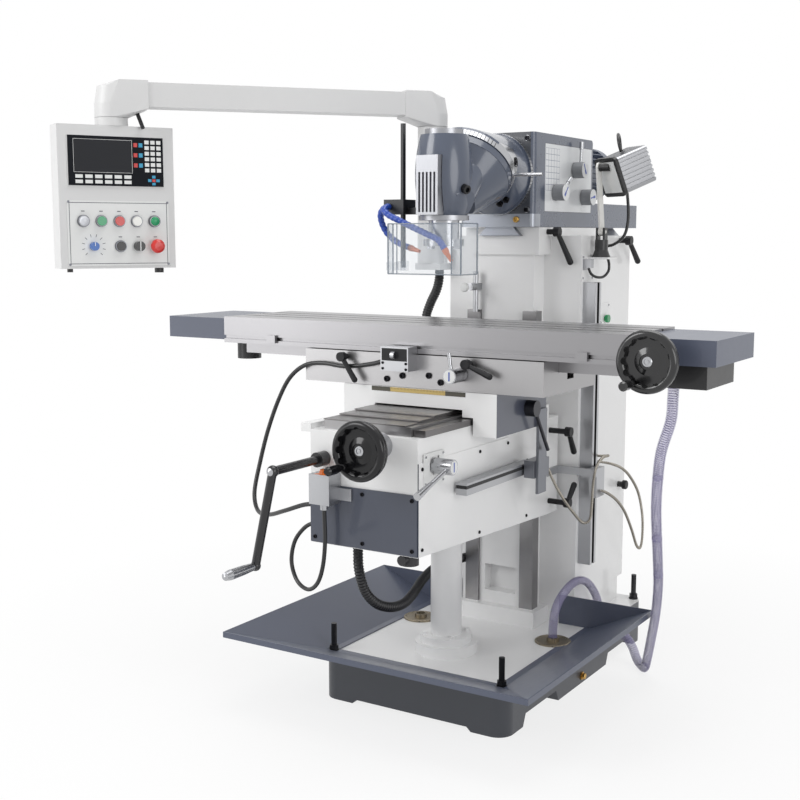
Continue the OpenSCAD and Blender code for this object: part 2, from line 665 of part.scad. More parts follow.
module spindle() color([0.72, 0.73, 0.75]) translate([0, spindle_y, 0]) difference() {
    union() {
        translate([0, 0, nose_z]) cylinder(r = nose_r, h = nose_t);
        translate([0, 0, nose_z + nose_t]) cylinder(r = 42, h = head_low - nose_z - nose_t - 4);
        translate([0, 0, nose_z + 30]) cylinder(r = spindle_r, h = head_low - nose_z - 30 + 190);
        for (s = [-1, 1]) slab(s * 40 - 8, s * 40 + 8, -8, 8, nose_z - 9, nose_z);
    }
    translate([0, 0, nose_z - eps]) cylinder(r1 = taper_d / 2, r2 = taper_d / 2 - 10, h = 68.6);
    translate([0, 0, nose_z]) cylinder(r = 8.5, h = 400);
}

// the hoses' points are measured from the middle of the spindle's nose
nozzle_a_points = [[-168.3, -12, 105.5], [-182, -12, 103.5], [-200, -4, 87.5], [-206, 12, 61.5],
    [-196, 24, 33.5], [-174, 29, 13.5], [-146, 27, 1.5], [-118, 22, -6.5]];
nozzle_b_points = [[-150, -38.3, 105.5], [-150, -52, 104.5], [-146, -70, 95.5], [-126, -76, 81.5],
    [-92, -78, 67.5], [-50, -78, 49.5], [-8, -75, 31.5], [26, -72, 15.5], [44, -68, -10.5]];
function from_nose(points) = [for (p = points) p + [0, spindle_y, nose_z]];

module coolant_fittings() color([0.1, 0.2, 0.6]) {
    difference() {
        union() {
            slab(-168, rod_x + 24, spindle_y - 38, spindle_y + 26, head_low + 4, head_low + 44);
            slab(rod_x + 23, -head_r + 2, spindle_y - 14, spindle_y + 14, head_low + 4, head_low + 22);
        }
        translate([0, spindle_y, head_low]) cylinder(r = head_r + 6, h = 60);
    }
    translate([rod_x, spindle_y, nose_z - 60]) cylinder(r = rod_r, h = 390, $fn = 6);
    tube(spline(from_nose(nozzle_a_points), 2), 7, 8);
    tube(spline(from_nose(nozzle_b_points), 2), 7, 8);
}

module chip_guard() color([0.8, 0.85, 0.9, 0.35]) {
    top = guard_low + guard_h;
    back = guard_front + guard_side;
    lip = guard_front + guard_lip;
    slab(guard_left, guard_right, guard_front, guard_front + guard_t, guard_low, top);
    slab(guard_right - guard_t, guard_right, guard_front, back, guard_low, top);
    slab(guard_left, guard_left + guard_t, guard_front, lip, guard_low, top);
    difference() {
        union() {
            translate([rod_x, spindle_y, guard_low + 6]) cylinder(r = 16, h = 26);
            slab(rod_x - 5, rod_x + 7, guard_front + 20, spindle_y, guard_low + 8, guard_low + 30);
            slab(rod_x - 5, guard_left, guard_front + 20, lip, guard_low + 8, guard_low + 30);
        }
        translate([rod_x, spindle_y, guard_low]) cylinder(r = rod_r + fit, h = 60);
    }
}

module knee_side(inset) {
    back = way_front - gap - inset;
    polygon([[knee_front + inset, knee_low + inset], [back, knee_back_low + inset], [back, knee_z - inset],
             [knee_front + inset, knee_z - inset]]);
}

module knee() color([0.93, 0.93, 0.92]) {
    hw = knee_w / 2;
    difference() {
        union() {
            rotate([90, 0, 90]) linear_extrude(knee_w, center = true) knee_side(0);
            slab(-rail_w / 2, rail_w / 2, knee_front + 20, way_front - gap, knee_z - 1, knee_z + rail_h);
            slab(-hw - 30, -hw + 1, knee_front, knee_front + 98, knee_z - 8, knee_z + 14);
        }
        rotate([90, 0, 90]) linear_extrude(knee_w - 2 * knee_wall, center = true) knee_side(knee_wall);
        translate([0, screw_y, knee_back_low - 1]) cylinder(r = tube_d / 2 + 3, h = 100);
        translate([cross_x, knee_front - 1, cross_z]) along_y(12 + fit, knee_wall + 2);
        translate([crank_x, knee_front - 1, crank_z]) along_y(12 + fit, knee_wall + 2);
        translate([hw - knee_wall - 1, knee_front + 73, knee_z - 74]) along_x(10 + fit, knee_wall + 2);
        for (z = [knee_z - 83, knee_low]) translate([hw - 21, way_front + 7, z + 6]) along_x(8 + fit, 22);
    }
    // cheeks beside the ways with keeper strips behind them
    both_sides() difference() {
        union() {
            slab(way_w / 2 + gap, hw, way_front - gap, way_back + gap, knee_back_low, knee_z - 40);
            slab(neck_w / 2 + gap, hw, way_back + gap, way_back + 26, knee_back_low, knee_z - 40);
        }
        for (z = [knee_z - 83, knee_low]) translate([hw - 21, way_front + 7, z + 6]) along_x(8 + fit, 22);
    }
}

module knee_covers() color([0.33, 0.35, 0.39]) {
    hw = knee_w / 2;
    front = knee_front - 3;
    slab(-hw, hw, front, knee_front, knee_low + 2, knee_low + 156);
    difference() {
        rotate([90, 0, 90]) translate([0, 0, hw]) linear_extrude(3) polygon([[knee_front, knee_low + 2],
            [way_front - 130, knee_back_low + 8], [way_front - 130, knee_z - 130],
            [way_front - 260, knee_z - 60], [knee_front, knee_z - 60]]);
        translate([hw - 1, knee_front + 73, knee_z - 74]) along_x(22, 10);
    }
}

module way_covers() color([0.45, 0.45, 0.47]) {
    top = knee_z + rail_h;
    for (i = [0:2]) slab(-rail_w / 2 - 3, rail_w / 2 - 18, knee_front + 20 + 70 * i, saddle_front + 60,
                         top + 4 * i, top + 4 * i + 3 + eps);
    slab(rail_w / 2 + 1, knee_w / 2 + 4, knee_front + 30, saddle_front + 60, knee_z + face_gap, knee_z + 17);
}

module knee_fittings() color([0.7, 0.71, 0.72]) {
    hw = knee_w / 2;
    // horizontal measuring scale on two feet
    slab(hw + 12, hw + 43, knee_front + 168, way_front - 184, knee_low + 130, knee_low + 161);
    for (y = [knee_front + 190, way_front - 220])
        slab(hw + 3, hw + 12, y, y + 24, knee_low + 134, knee_low + 157);
    // bracket and reader of the vertical scale
    slab(hw, hw + 6, way_front - 14, way_front + 60, knee_low + 82, knee_low + 104);
    slab(hw, hw + 128, way_front + 54, way_front + 66, knee_low + 82, knee_low + 104);
    slab(col_w / 2 + 44, col_w / 2 + 68, way_front + 66, way_front + 123, knee_low + 17, knee_low + 104);
    // junction box with its lamp
    difference() {
        slab(-128, -66, knee_front - 53, knee_front - 3, knee_low + 113, knee_low + 190);
        slab(-124, -70, knee_front - 49, knee_front - 7, knee_low + 117, knee_low + 186);
    }
    slab(-66, -30, knee_front - 8, knee_front - 3, knee_low + 121, knee_low + 152);
    translate([-97, knee_front - 28, knee_low + 190]) cylinder(r1 = 14, r2 = 11, h = 10);
    translate([-97, knee_front - 31, knee_low + 97]) cylinder(r = 10, h = 16);
    // graduated hub behind the handwheel
    translate([cross_x, knee_front - 52, cross_z]) difference() {
        along_y(32, 52);
        translate([0, -1, 0]) along_y(12 + fit, 54);
    }
}

module feed_motor() color([0.2, 0.2, 0.22]) {
    translate([motor_x, motor_y, motor_z]) along_y(motor_r, motor_l);
    translate([motor_x, motor_y - motor_neck, motor_z]) along_y(30, motor_neck);
    translate([plug_x, plug_y, knee_low - plug_drop]) cylinder(r = 24, h = plug_drop - 4);
    translate([plug_x, plug_y - plug_drop, knee_low - 20]) along_y(13, 20);
}

module crank() color([0.12, 0.12, 0.13]) translate([crank_x, 0, crank_z]) {
    translate([0, crank_y, 0]) along_y(11, knee_front - crank_y + knee_wall);
    translate([0, knee_front - 36, 0]) along_y(19, 35);
    translate([0, crank_y, 0]) sphere(15);
    rotate([0, 180 + crank_lean, 0]) translate([0, crank_y, 0]) {
        cylinder(r = 11, h = crank_l);
        translate([0, 0, crank_l]) sphere(13);
        translate([0, -104, crank_l]) along_y(9, 100);
        translate([0, -116, crank_l]) rotate([-90, 0, 0]) rotate_extrude()
            polygon([[0, 0], [10, 2], [13, 20], [12, 70], [10, 100], [0, 104]]);
    }
}

module cross_handwheel() color([0.05, 0.05, 0.06]) translate([cross_x, knee_front - 82, cross_z]) {
    handwheel(28, 225);
    along_y(12, 82 + knee_wall);
}

module feed_lever() color([0.75, 0.76, 0.77])
    translate([knee_w / 2 + 5, knee_front + 73, knee_z - 74]) {
        along_x(20, 54);
        translate([-knee_wall - 5, 0, 0]) along_x(10, knee_wall + 6);
        translate([42, 0, 0]) rotate([107, 0, 0]) {
            cylinder(r = 6, h = 90);
            translate([0, 0, 90]) cylinder(r1 = 6, r2 = 10, h = 70);
        }
    }

module knee_clamp_upper() color([0.08, 0.08, 0.09])
    side_lever(knee_w / 2, way_front + 7, knee_z - 77, -59, 52, 74);
module knee_clamp_lower() color([0.08, 0.08, 0.09])
    side_lever(knee_w / 2, way_front + 7, knee_low + 6, 46, 52, 64);

module saddle() color([0.5, 0.52, 0.56]) difference() {
    hw = saddle_w / 2;
    y0 = saddle_front;
    y1 = saddle_front + saddle_l;
    slab(-hw, hw, y0, y1, saddle_low, saddle_top);
    slab(-knee_w / 2 - 8, knee_w / 2 + 8, y0 - 1, y1 + 1, saddle_low - 1, knee_z + 20);
    slab(-rail_w / 2 - 6, rail_w / 2 + 6, y0 - 1, y1 + 1, saddle_low - 1, knee_z + rail_h + cover_h + 2);
    translate([0, screw_y, saddle_top - 20]) cylinder(r = spin_r + fit, h = 21);
    translate([hw - 24, screw_y + 18, knee_z + 31]) along_x(10 + fit, 26);
}

module cross_reader() color([0.5, 0.52, 0.55]) {
    x = saddle_w / 2;
    y = screw_y + 75;
    slab(x, x + 8, y, y + 50, knee_low + 80, knee_z + 20);
    slab(knee_w / 2 + 46, x, y - 10, y + 84, knee_low + 124, knee_low + 172);
}

module saddle_lock() color([0.2, 0.2, 0.21]) translate([saddle_w / 2 + 1, screw_y + 18, knee_z + 31]) {
    along_x(22, 28);
    translate([-24, 0, 0]) along_x(10, 25);
    translate([20, 0, 0]) rotate([-145, 0, 0]) cylinder(r = 5, h = 152);
}

module swivel_bed() color([0.75, 0.76, 0.76]) difference() {
    hl = bed_l / 2;
    union() {
        slab(-hl, hl, bed_front, bed_front + bed_w, bed_z, bed_top);
        translate([0, screw_y, saddle_top - 19]) cylinder(r = spin_r, h = 21);
    }
    slab(-hl - 1, hl + 1, table_mid - slide_w / 2 - gap, table_mid + slide_w / 2 + gap,
         bed_top - slide_h + 2, bed_top + 1);
    slab(-hl - 1, hl + 1, table_mid - 20, table_mid + 20, bed_top - slide_h - 20, bed_top);
    for (x = [-228, 159]) translate([x, bed_front - 1, bed_top - 15]) along_y(8 + fit, 22);
    translate([133, bed_front - 1, bed_top - 44]) along_y(10 + fit, 22);
}

module limit_switch() color([0.72, 0.73, 0.74]) difference() {
    slab(-88, -2, bed_front - 45, bed_front, bed_top - 42, bed_top + 22);
    slab(-84, -6, bed_front - 41, bed_front - 4, bed_top - 38, bed_top + 18);
}

module front_lever(x, turn) translate([x, bed_front, bed_top - 15]) rotate([90, 0, 0]) rotate(turn)
    translate([0, 0, 16]) clamp_lever(34, 13, 74, 8);
module bed_clamp_left() color([0.08, 0.08, 0.09]) front_lever(-228, -145);
module bed_clamp_right() color([0.08, 0.08, 0.09]) front_lever(159, -112);

module feed_dial() color([0.7, 0.71, 0.72]) translate([133, bed_front - 2, bed_top - 44]) {
    translate([0, -62, 0]) along_y(19, 62);
    along_y(10, 20);
    translate([0, -50, 0]) rotate([0, -8, 0]) cylinder(r = 5, h = 60);
}

module table() color([0.66, 0.66, 0.67]) {
    difference() {
        union() {
            slab(table_x0, table_x1, table_front, table_front + table_w, table_z, table_top);
            slab(table_x0 + 12, table_x1 - 12, table_mid - slide_w / 2, table_mid + slide_w / 2,
                 table_z - slide_h, table_z + 1);
        }
        for (i = [-1:1]) {
            y = table_mid + i * slot_pitch;
            slab(table_x0 - 1, table_x1 + 1, y - slot_w / 2, y + slot_w / 2, table_top - 28, table_top + 1);
            slab(table_x0 - 1, table_x1 + 1, y - slot_w * 0.85, y + slot_w * 0.85,
                 table_top - 28, table_top - 17);
        }
        slab(table_x0 - 1, table_x1 + 1, table_front - 1, table_front + 9, table_z + 12, table_z + 22);
        slab(table_x0 - 1, table_x1 + 1, table_mid - screw_r - 6, table_mid + screw_r + 6,
             table_z - slide_h - 1, table_z - 1);
    }
    // trip dogs in the front groove
    for (x = [-500, 455]) slab(x, x + 30, table_front - 9, table_front, table_z + 6, table_z + 28);
}

module leadscrew() color([0.55, 0.55, 0.57]) translate([table_x0 + 2, table_mid, screw_z])
    along_x(screw_r, table_l - 4);

module end_boxes() color([0.33, 0.35, 0.39]) {
    slab(table_x0 - left_box, table_x0, box_y0, box_y1, box_z0, box_z1);
    difference() {
        slab(table_x1, table_x1 + right_box, box_y0, box_y1, box_z0, box_z1);
        translate([wheel_x, box_y0 - 1, wheel_z]) along_y(12 + fit, 60);
    }
    slab(table_x1 + 62, table_x1 + 180, box_y0 + 30, box_y1 - 60, box_z0 - 58, box_z0);
    translate([table_x0 - 37, table_mid, box_z0 - 68]) cylinder(r = 36, h = 69);
}

module table_handwheel() color([0.05, 0.05, 0.06]) translate([wheel_x, box_y0 - 62, wheel_z]) {
    handwheel(26, 240);
    along_y(12, 62 + 56);
    translate([0, 27, 0]) along_y(26, 34);
}

// Elbow of the control arm: a round foot below and a squared socket towards the beam
module arm_elbow() {
    hull() {
        cylinder(r = post_r + 1, h = 38, $fn = 40);
        translate([20, -beam_w / 2 - 4, beam_z - post_top - beam_h / 2 - 5])
            cube([80, beam_w + 8, beam_h + 10]);
        translate([4, 0, 72]) cylinder(r = post_r - 4, h = 14, $fn = 40);
    }
}

module control_arm() color([0.88, 0.88, 0.86]) difference() {
    translate([post_x, post_y, post_top + face_gap]) rotate(arm_turn) {
        arm_elbow();
        translate([arm_l, 0, 0]) rotate(180) arm_elbow();
        translate([90, -beam_w / 2, beam_z - post_top - beam_h / 2]) cube([arm_l - 180, beam_w, beam_h]);
    }
    translate([post_x, post_y, post_top]) cylinder(r = post_r - 7 + fit, h = 24);
    translate([arm_end[0], arm_end[1], post_top]) cylinder(r = post_r - 7 + fit, h = 24);
}

module box_frame() translate([arm_end[0], arm_end[1], box_low]) rotate(box_turn) children();
function on_face(u, v) = [u - box_w / 2, face_y, box_h - v];

button_row = [115, 166, 216];
lamp_row = [64, 267];
lower_row = [92, 168, 220, 270];
row_a = box_h - 132;
row_b = box_h - 62;
stem_r = 8;

module control_box() color([0.88, 0.88, 0.86]) box_frame() difference() {
    union() {
        slab(-box_w / 2, box_w / 2, face_y, face_y + box_d, 0, box_h);
        translate([0, 0, box_h]) cylinder(r = post_r + 1, h = post_top - box_top);
        translate([0, 0, box_h]) cylinder(r = post_r - 7, h = post_top - box_top + 22);
        slab(25 - box_w / 2, 300 - box_w / 2, face_y - 4, face_y, box_h - 168, box_h - 28);
        slab(20 - box_w / 2, 312 - box_w / 2, face_y - 2, face_y, 7, 189);
        for (u = concat(button_row, [lower_row[1]])) translate(on_face(u, u == lower_row[1] ? row_b : row_a)
            - [0, 9, 0]) along_y(16, 9);
        for (u = lamp_row) translate(on_face(u, row_a) - [0, 14, 0]) along_y(14, 14);
        translate(on_face(32, box_h) + [0, 30, -10]) cylinder(r = 8, h = 11);
        translate(on_face(290, box_h) + [0, 30, -14]) cylinder(r = 13, h = 15);
    }
    for (u = concat(button_row, [lower_row[1]])) translate(on_face(u, u == lower_row[1] ? row_b : row_a)
        - [0, 10, 0]) {
            along_y(13.4, 8);
            along_y(stem_r + fit, 34);
        }
    for (u = [lower_row[0], lower_row[2], lower_row[3]])
        translate(on_face(u, row_b) - [0, 3, 0]) along_y(stem_r + fit, 30);
}

// push button on the control box: a cap inside its bezel and a stem in its bore
module push_button(u, v) box_frame() translate(on_face(u, v)) {
    translate([0, -13, 0]) along_y(13, 6);
    translate([0, -8, 0]) along_y(stem_r, 26);
}
module start_button() color([0.1, 0.6, 0.35]) push_button(button_row[0], row_a);
module stop_button() color([0.85, 0.15, 0.12]) push_button(button_row[1], row_a);
module jog_button() color([0.93, 0.93, 0.9]) push_button(button_row[2], row_a);
module lube_button() color([0.1, 0.1, 0.1]) push_button(lower_row[1], row_b);

module turn_knob(u, r, h) box_frame() translate(on_face(u, row_b)) {
    translate([0, -3 - h, 0]) along_y(r, h);
    translate([0, -4, 0]) along_y(stem_r, 24);
}
module speed_pot() color([0.1, 0.35, 0.75]) turn_knob(lower_row[0], 12, 15);
module selector_switch() color([0.1, 0.1, 0.1]) turn_knob(lower_row[2], 14, 20);
module emergency_stop() color([0.85, 0.15, 0.12]) box_frame() translate(on_face(lower_row[3], row_b)) {
    translate([0, -34, 0]) rotate([-90, 0, 0]) rotate_extrude()
        polygon([[0, 0], [12, 1], [19, 6], [20, 12], [16, 15], [12, 16], [12, 22], [0, 22]]);
    translate([0, -14, 0]) along_y(stem_r, 34);
}

module lamp_arm() color([0.92, 0.92, 0.9]) translate([lamp_x, lamp_y, lamp_z]) {
    translate([-7, 0, 0]) along_x(12, 14);
    translate([-13, 0, 0]) along_x(6, 26);
    rotate([lamp_lean, 0, 0]) slab(-3, 3, -15, 15, 8, lamp_l);
    rotate([lamp_lean, 0, 0]) translate([-3, 0, lamp_l]) along_x(15, 6);
}

lamp_tip = [lamp_x, lamp_y - lamp_l * sin(lamp_lean), lamp_z + lamp_l * cos(lamp_lean)];
lamp_tilt = 111.7;
lamp_pan = 233.7;

module lamp_head() color([0.68, 0.69, 0.7]) {
    half = 54;
    translate(lamp_tip + [24, 16, -30]) rotate([0, lamp_tilt, lamp_pan]) translate([0, 0, -118]) {
        linear_extrude(104) difference() {
            round_plate(2 * half, 2 * half, 12);
            for (a = [0:90:270], i = [-3:3]) rotate(a) translate([half - 5, i * 13 - 3]) square([8, 6]);
        }
        translate([0, 0, 104]) linear_extrude(10) round_plate(2 * half + 8, 2 * half + 8, 16);
        translate([0, 0, -12]) cylinder(r = 14, h = 12);
    }
    translate(lamp_tip + [3.5, 0, 0]) along_x(11, 30);
}

module bed_conduit() color([0.08, 0.08, 0.09]) {
    tube(spline(bed_conduit_route, 3), 6, 10);
    tube(spline(box_cable_route, 3), 5.5, 10);
}

module thick_conduits() color([0.07, 0.07, 0.08]) {
    ribbed_hose(spline(knee_conduit_route, 9), 14, 2.2, 9, 8);
    ribbed_hose(spline(arm_conduit_route, 8), 15, 2.2, 10, 8);
}

module reader_conduits() color([0.6, 0.58, 0.52]) {
    tube(spline(cross_reader_route, 3), 4.5, 8);
    tube(spline(knee_reader_route, 3), 4.5, 8);
}

module clear_hoses() color([0.75, 0.72, 0.85, 0.6]) {
    tube(spline(drain_route, 2), 14, 12);
    tube(spline(strainer_route, 3), 13, 12);
}

module lamp_cables() color([0.08, 0.08, 0.09]) {
    tube(spline(lamp_loop_route, 3), 4, 8);
    tube(spline(lamp_cable_route, 3), 4.5, 8);
}

base_casting();
drip_tray();
levelling_bolts();
column();
column_fittings();
screw_tube();
elevating_screw();
column_button();
ram_clamp_front();
ram_clamp_rear();
ram_housing();
main_motor();
drive_shaft();
speed_knob_upper();
speed_knob_left();
speed_knob_right();
head_carrier();
spindle_head();
head_rings();
spindle();
coolant_fittings();
chip_guard();
knee();
knee_covers();
way_covers();
knee_fittings();
feed_motor();
crank();
cross_handwheel();
feed_lever();
knee_clamp_upper();
knee_clamp_lower();
saddle();
cross_reader();
saddle_lock();
swivel_bed();
limit_switch();
bed_clamp_left();
bed_clamp_right();
feed_dial();
table();
end_boxes();
table_handwheel();
leadscrew();
control_arm();
control_box();
start_button();
stop_button();
jog_button();
speed_pot();
lube_button();
selector_switch();
emergency_stop();
lamp_arm();
lamp_head();
bed_conduit();
thick_conduits();
reader_conduits();
clear_hoses();
lamp_cables();
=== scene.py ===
import bpy
import math
import numpy as np
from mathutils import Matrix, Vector


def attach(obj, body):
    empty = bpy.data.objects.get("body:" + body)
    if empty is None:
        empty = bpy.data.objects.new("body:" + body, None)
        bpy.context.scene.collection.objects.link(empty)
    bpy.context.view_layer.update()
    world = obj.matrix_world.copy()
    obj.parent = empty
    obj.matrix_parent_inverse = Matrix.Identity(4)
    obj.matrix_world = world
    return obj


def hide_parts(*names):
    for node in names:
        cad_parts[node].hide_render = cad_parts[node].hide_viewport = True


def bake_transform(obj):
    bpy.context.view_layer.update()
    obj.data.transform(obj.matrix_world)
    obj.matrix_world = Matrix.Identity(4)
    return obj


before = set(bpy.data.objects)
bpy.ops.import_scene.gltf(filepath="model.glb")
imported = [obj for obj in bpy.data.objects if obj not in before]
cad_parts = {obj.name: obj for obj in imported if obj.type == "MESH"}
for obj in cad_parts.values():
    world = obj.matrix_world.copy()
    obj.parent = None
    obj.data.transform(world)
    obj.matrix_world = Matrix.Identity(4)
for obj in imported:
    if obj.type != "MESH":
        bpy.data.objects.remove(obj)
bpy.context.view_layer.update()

print("frame loaded")


def rgb(r, g, b):
    # screen values from 0 to 255 turned into linear light
    c = np.array([r, g, b], float) / 255
    return tuple(np.where(c <= 0.04045, c / 12.92, ((c + 0.055) / 1.055) ** 2.4)) + (1.0,)


class Sock:
    def __init__(self, tree, out):
        self.tree, self.out = tree, out

    def node(self, kind, output=0, settings=None, values=None):
        # a new node: its settings first, then the values or links of its sockets
        n = self.tree.nodes.new(kind)
        for k, v in (settings or {}).items():
            setattr(n, k, v)
        for k, v in (values or {}).items():
            feed(n.inputs[k], v)
        return Sock(self.tree, n.outputs[output])

    def maths(self, op, a, b=None):
        values = {0: a} if b is None else {0: a, 1: b}
        return self.node("ShaderNodeMath", 0, {"operation": op}, values)

    def __add__(self, o): return self.maths("ADD", self, o)
    def __radd__(self, o): return self.maths("ADD", o, self)
    def __sub__(self, o): return self.maths("SUBTRACT", self, o)
    def __rsub__(self, o): return self.maths("SUBTRACT", o, self)
    def __mul__(self, o): return self.maths("MULTIPLY", self, o)
    def __rmul__(self, o): return self.maths("MULTIPLY", o, self)
    def __gt__(self, o): return self.maths("GREATER_THAN", self, o)
    def __lt__(self, o): return self.maths("LESS_THAN", self, o)
    def __abs__(self): return self.maths("ABSOLUTE", self)


def feed(socket, value):
    # a link where the value changes over the surface, or else the plain value on the socket itself
    if isinstance(value, Sock):
        value.tree.links.new(value.out, socket)
    else:
        socket.default_value = value


# Grain of the finishes: noise scales, and how far they change colour (Shade), roughness (dull) and height
paintSet = {
    "cloud": 7.0, "cloudShade": 0.018, "fleck": 55.0, "fleckShade": 0.012, "dull": 0.03, "peel": 420.0,
}
steelSet = {
    "lines": 700.0, "lineShade": 0.05, "dull": 0.05, "height": 0.00002, "cloud": 3.0, "cloudShade": 0.04,
}
plasticSet = {"cloud": 60.0, "cloudShade": 0.03, "dull": 0.04, "grain": 900.0, "height": 0.00001}
coatRough = 0.08


class Finish:
    def __init__(self, name, colour, rough, metal=0.0, coat=0.0, spec=0.5):
        self.mat = bpy.data.materials.new(name)
        self.mat.use_nodes = True
        self.mat.diffuse_color = colour
        self.tree = self.mat.node_tree
        self.bsdf = self.tree.nodes["Principled BSDF"]
        start = Sock(self.tree, None)
        self.place = start.node("ShaderNodeTexCoord", "Object")
        split = start.node("ShaderNodeSeparateXYZ", 0, None, {0: self.place}).out.node
        self.x, self.y, self.z = [Sock(self.tree, o) for o in split.outputs]
        self.colour, self.rough, self.metal = colour, rough, metal  # plain until a zone or noise changes them
        self.height = None
        plain = {"Coat Weight": coat, "Coat Roughness": coatRough, "Specular IOR Level": spec}
        for key, value in plain.items():
            feed(self.bsdf.inputs[key], value)

    def noise(self, scale, detail=3.0, stretch=None):
        where = self.place
        if stretch:
            where = where.node("ShaderNodeVectorMath", 0, {"operation": "MULTIPLY"}, {0: where, 1: stretch})
        values = {"Vector": where, "Scale": scale, "Detail": detail}
        return where.node("ShaderNodeTexNoise", "Fac", None, values)

    def inside(self, x=None, y=None, z=None):
        # true between the two ends of each span that is given
        mask = None
        for s, span in ((self.x, x), (self.y, y), (self.z, z)):
            if span:
                m = (s > span[0]) * (s < span[1])
                mask = m if mask is None else mask * m
        return mask

    def along(self, point, axis):
        # distance from a point along a unit axis
        x, y, z = (s * float(a) for s, a in zip((self.x, self.y, self.z), axis))
        return x + y + z - float(np.dot(point, axis))

    def around(self, point, axis):
        # radius from the axis through a point, and the angle about it in degrees
        u, v, w = basis(axis)
        a, b = self.along(point, u), self.along(point, v)
        return a.maths("SQRT", a * a + b * b), a.maths("ARCTAN2", b, a) * (180 / math.pi)

    def stripes(self, value, step, width):
        # true within half a width of each multiple of the step
        return value.maths("PINGPONG", value, step / 2) < width / 2

    def zones(self, items):
        # each item: a box or a mask, and the colour, roughness and metal within it
        for span, colour, rough, metal in items:
            mask = span(self) if callable(span) else self.inside(**span)
            values = {0: mask, 6: self.colour, 7: colour}
            self.colour = mask.node("ShaderNodeMix", 2, {"data_type": "RGBA"}, values)
            if rough != self.rough:
                self.rough = self.rough + mask * (rough - self.rough)
            if metal != self.metal:
                self.metal = self.metal + mask * (metal - self.metal)

    def vary(self, noise, shade, dull=0.0):
        # colour times 1 +- shade, and roughness +- dull, as the noise goes from 0 to 1
        base = self.colour if isinstance(self.colour, Sock) else self.colour[:3]
        values = {0: base, "Scale": 1.0 - shade + noise * (2 * shade)}
        self.colour = noise.node("ShaderNodeVectorMath", 0, {"operation": "SCALE"}, values)
        if dull:
            self.rough = self.rough + (noise - 0.5) * (2 * dull)

    def bump(self, noise, depth):
        self.height = noise * depth

    def done(self):
        made = {"Base Color": self.colour, "Roughness": self.rough, "Metallic": self.metal}
        if self.height is not None:
            values = {"Height": self.height, "Strength": 1.0, "Distance": 1.0}
            made["Normal"] = self.height.node("ShaderNodeBump", 0, None, values)
        for key, value in made.items():
            feed(self.bsdf.inputs[key], value)
        return self.mat


def paint(name, colour, rough, coat=0.4, peel=0.00004, zones=()):
    f = Finish(name, colour, rough, 0.0, coat)
    f.zones(zones)
    f.vary(f.noise(paintSet["cloud"]), paintSet["cloudShade"], paintSet["dull"])
    f.vary(f.noise(paintSet["fleck"], 6.0), paintSet["fleckShade"], paintSet["dull"])
    f.bump(f.noise(paintSet["peel"], 2.0), peel)
    return f.done()


def steel(name, colour, rough, stretch=None, zones=()):
    f = Finish(name, colour, rough, 1.0)
    f.zones(zones)
    lines = f.noise(steelSet["lines"], 2.0, stretch)
    f.vary(lines, steelSet["lineShade"], steelSet["dull"])
    f.vary(f.noise(steelSet["cloud"]), steelSet["cloudShade"])
    f.bump(lines, steelSet["height"])
    return f.done()


def plastic(name, colour, rough, coat=0.0, spec=0.5):
    f = Finish(name, colour, rough, 0.0, coat, spec)
    f.vary(f.noise(plasticSet["cloud"]), plasticSet["cloudShade"], plasticSet["dull"])
    f.bump(f.noise(plasticSet["grain"], 1.0), plasticSet["height"])
    return f.done()


def setAlpha(mat, alpha):
    feed(mat.node_tree.nodes["Principled BSDF"].inputs["Alpha"], alpha)


# Colours of the finishes, as screen values
tint = {
    "white": rgb(236, 236, 236),
    "slate": rgb(80, 86, 103),
    "iron": rgb(60, 63, 70),
    "ram": rgb(78, 86, 103),
    "hammer": rgb(150, 154, 162),
    "steel": rgb(150, 149, 150),
    "alu": rgb(178, 179, 182),
    "black": rgb(22, 22, 24),
    "grey": rgb(216, 216, 216),
    "saddle": rgb(74, 79, 94),
}


# Mesh makers: every surface is a numpy grid
def piece(name, verts, faces, mat, body, smooth=True, bevel=0.0):
    me = bpy.data.meshes.new(name)
    me.from_pydata(np.asarray(verts, float).tolist(), [], [list(map(int, q)) for q in faces])
    me.validate()
    me.update()
    if smooth:
        me.polygons.foreach_set("use_smooth", np.ones(len(me.polygons), bool))
    ob = bpy.data.objects.new(name, me)
    bpy.context.scene.collection.objects.link(ob)
    for m in mat if isinstance(mat, (list, tuple)) else [mat]:
        me.materials.append(m)
    if bevel:
        mod = ob.modifiers.new("edge", "BEVEL")
        mod.width, mod.segments, mod.limit_method = bevel, 2, "ANGLE"
    if smooth and not bevel:
        me.set_sharp_from_angle(angle=math.radians(35))
    if body:
        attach(ob, body)
    return ob


def basis(axis):
    # unit axis w and two directions u and v across it
    w = np.array(axis, float) / np.linalg.norm(axis)
    ref = np.array([0.0, 0.0, 1.0]) if abs(w[2]) < 0.9 else np.array([1.0, 0.0, 0.0])
    u = np.cross(ref, w)
    u /= np.linalg.norm(u)
    return u, np.cross(w, u), w


def gridFaces(rows, cols):
    # quads between neighbouring rings; the columns close on themselves
    i, j = np.meshgrid(np.arange(rows - 1), np.arange(cols), indexing="ij")
    a, b = i * cols + j, i * cols + (j + 1) % cols
    return np.stack([a, b, b + cols, a + cols], -1).reshape(-1, 4)


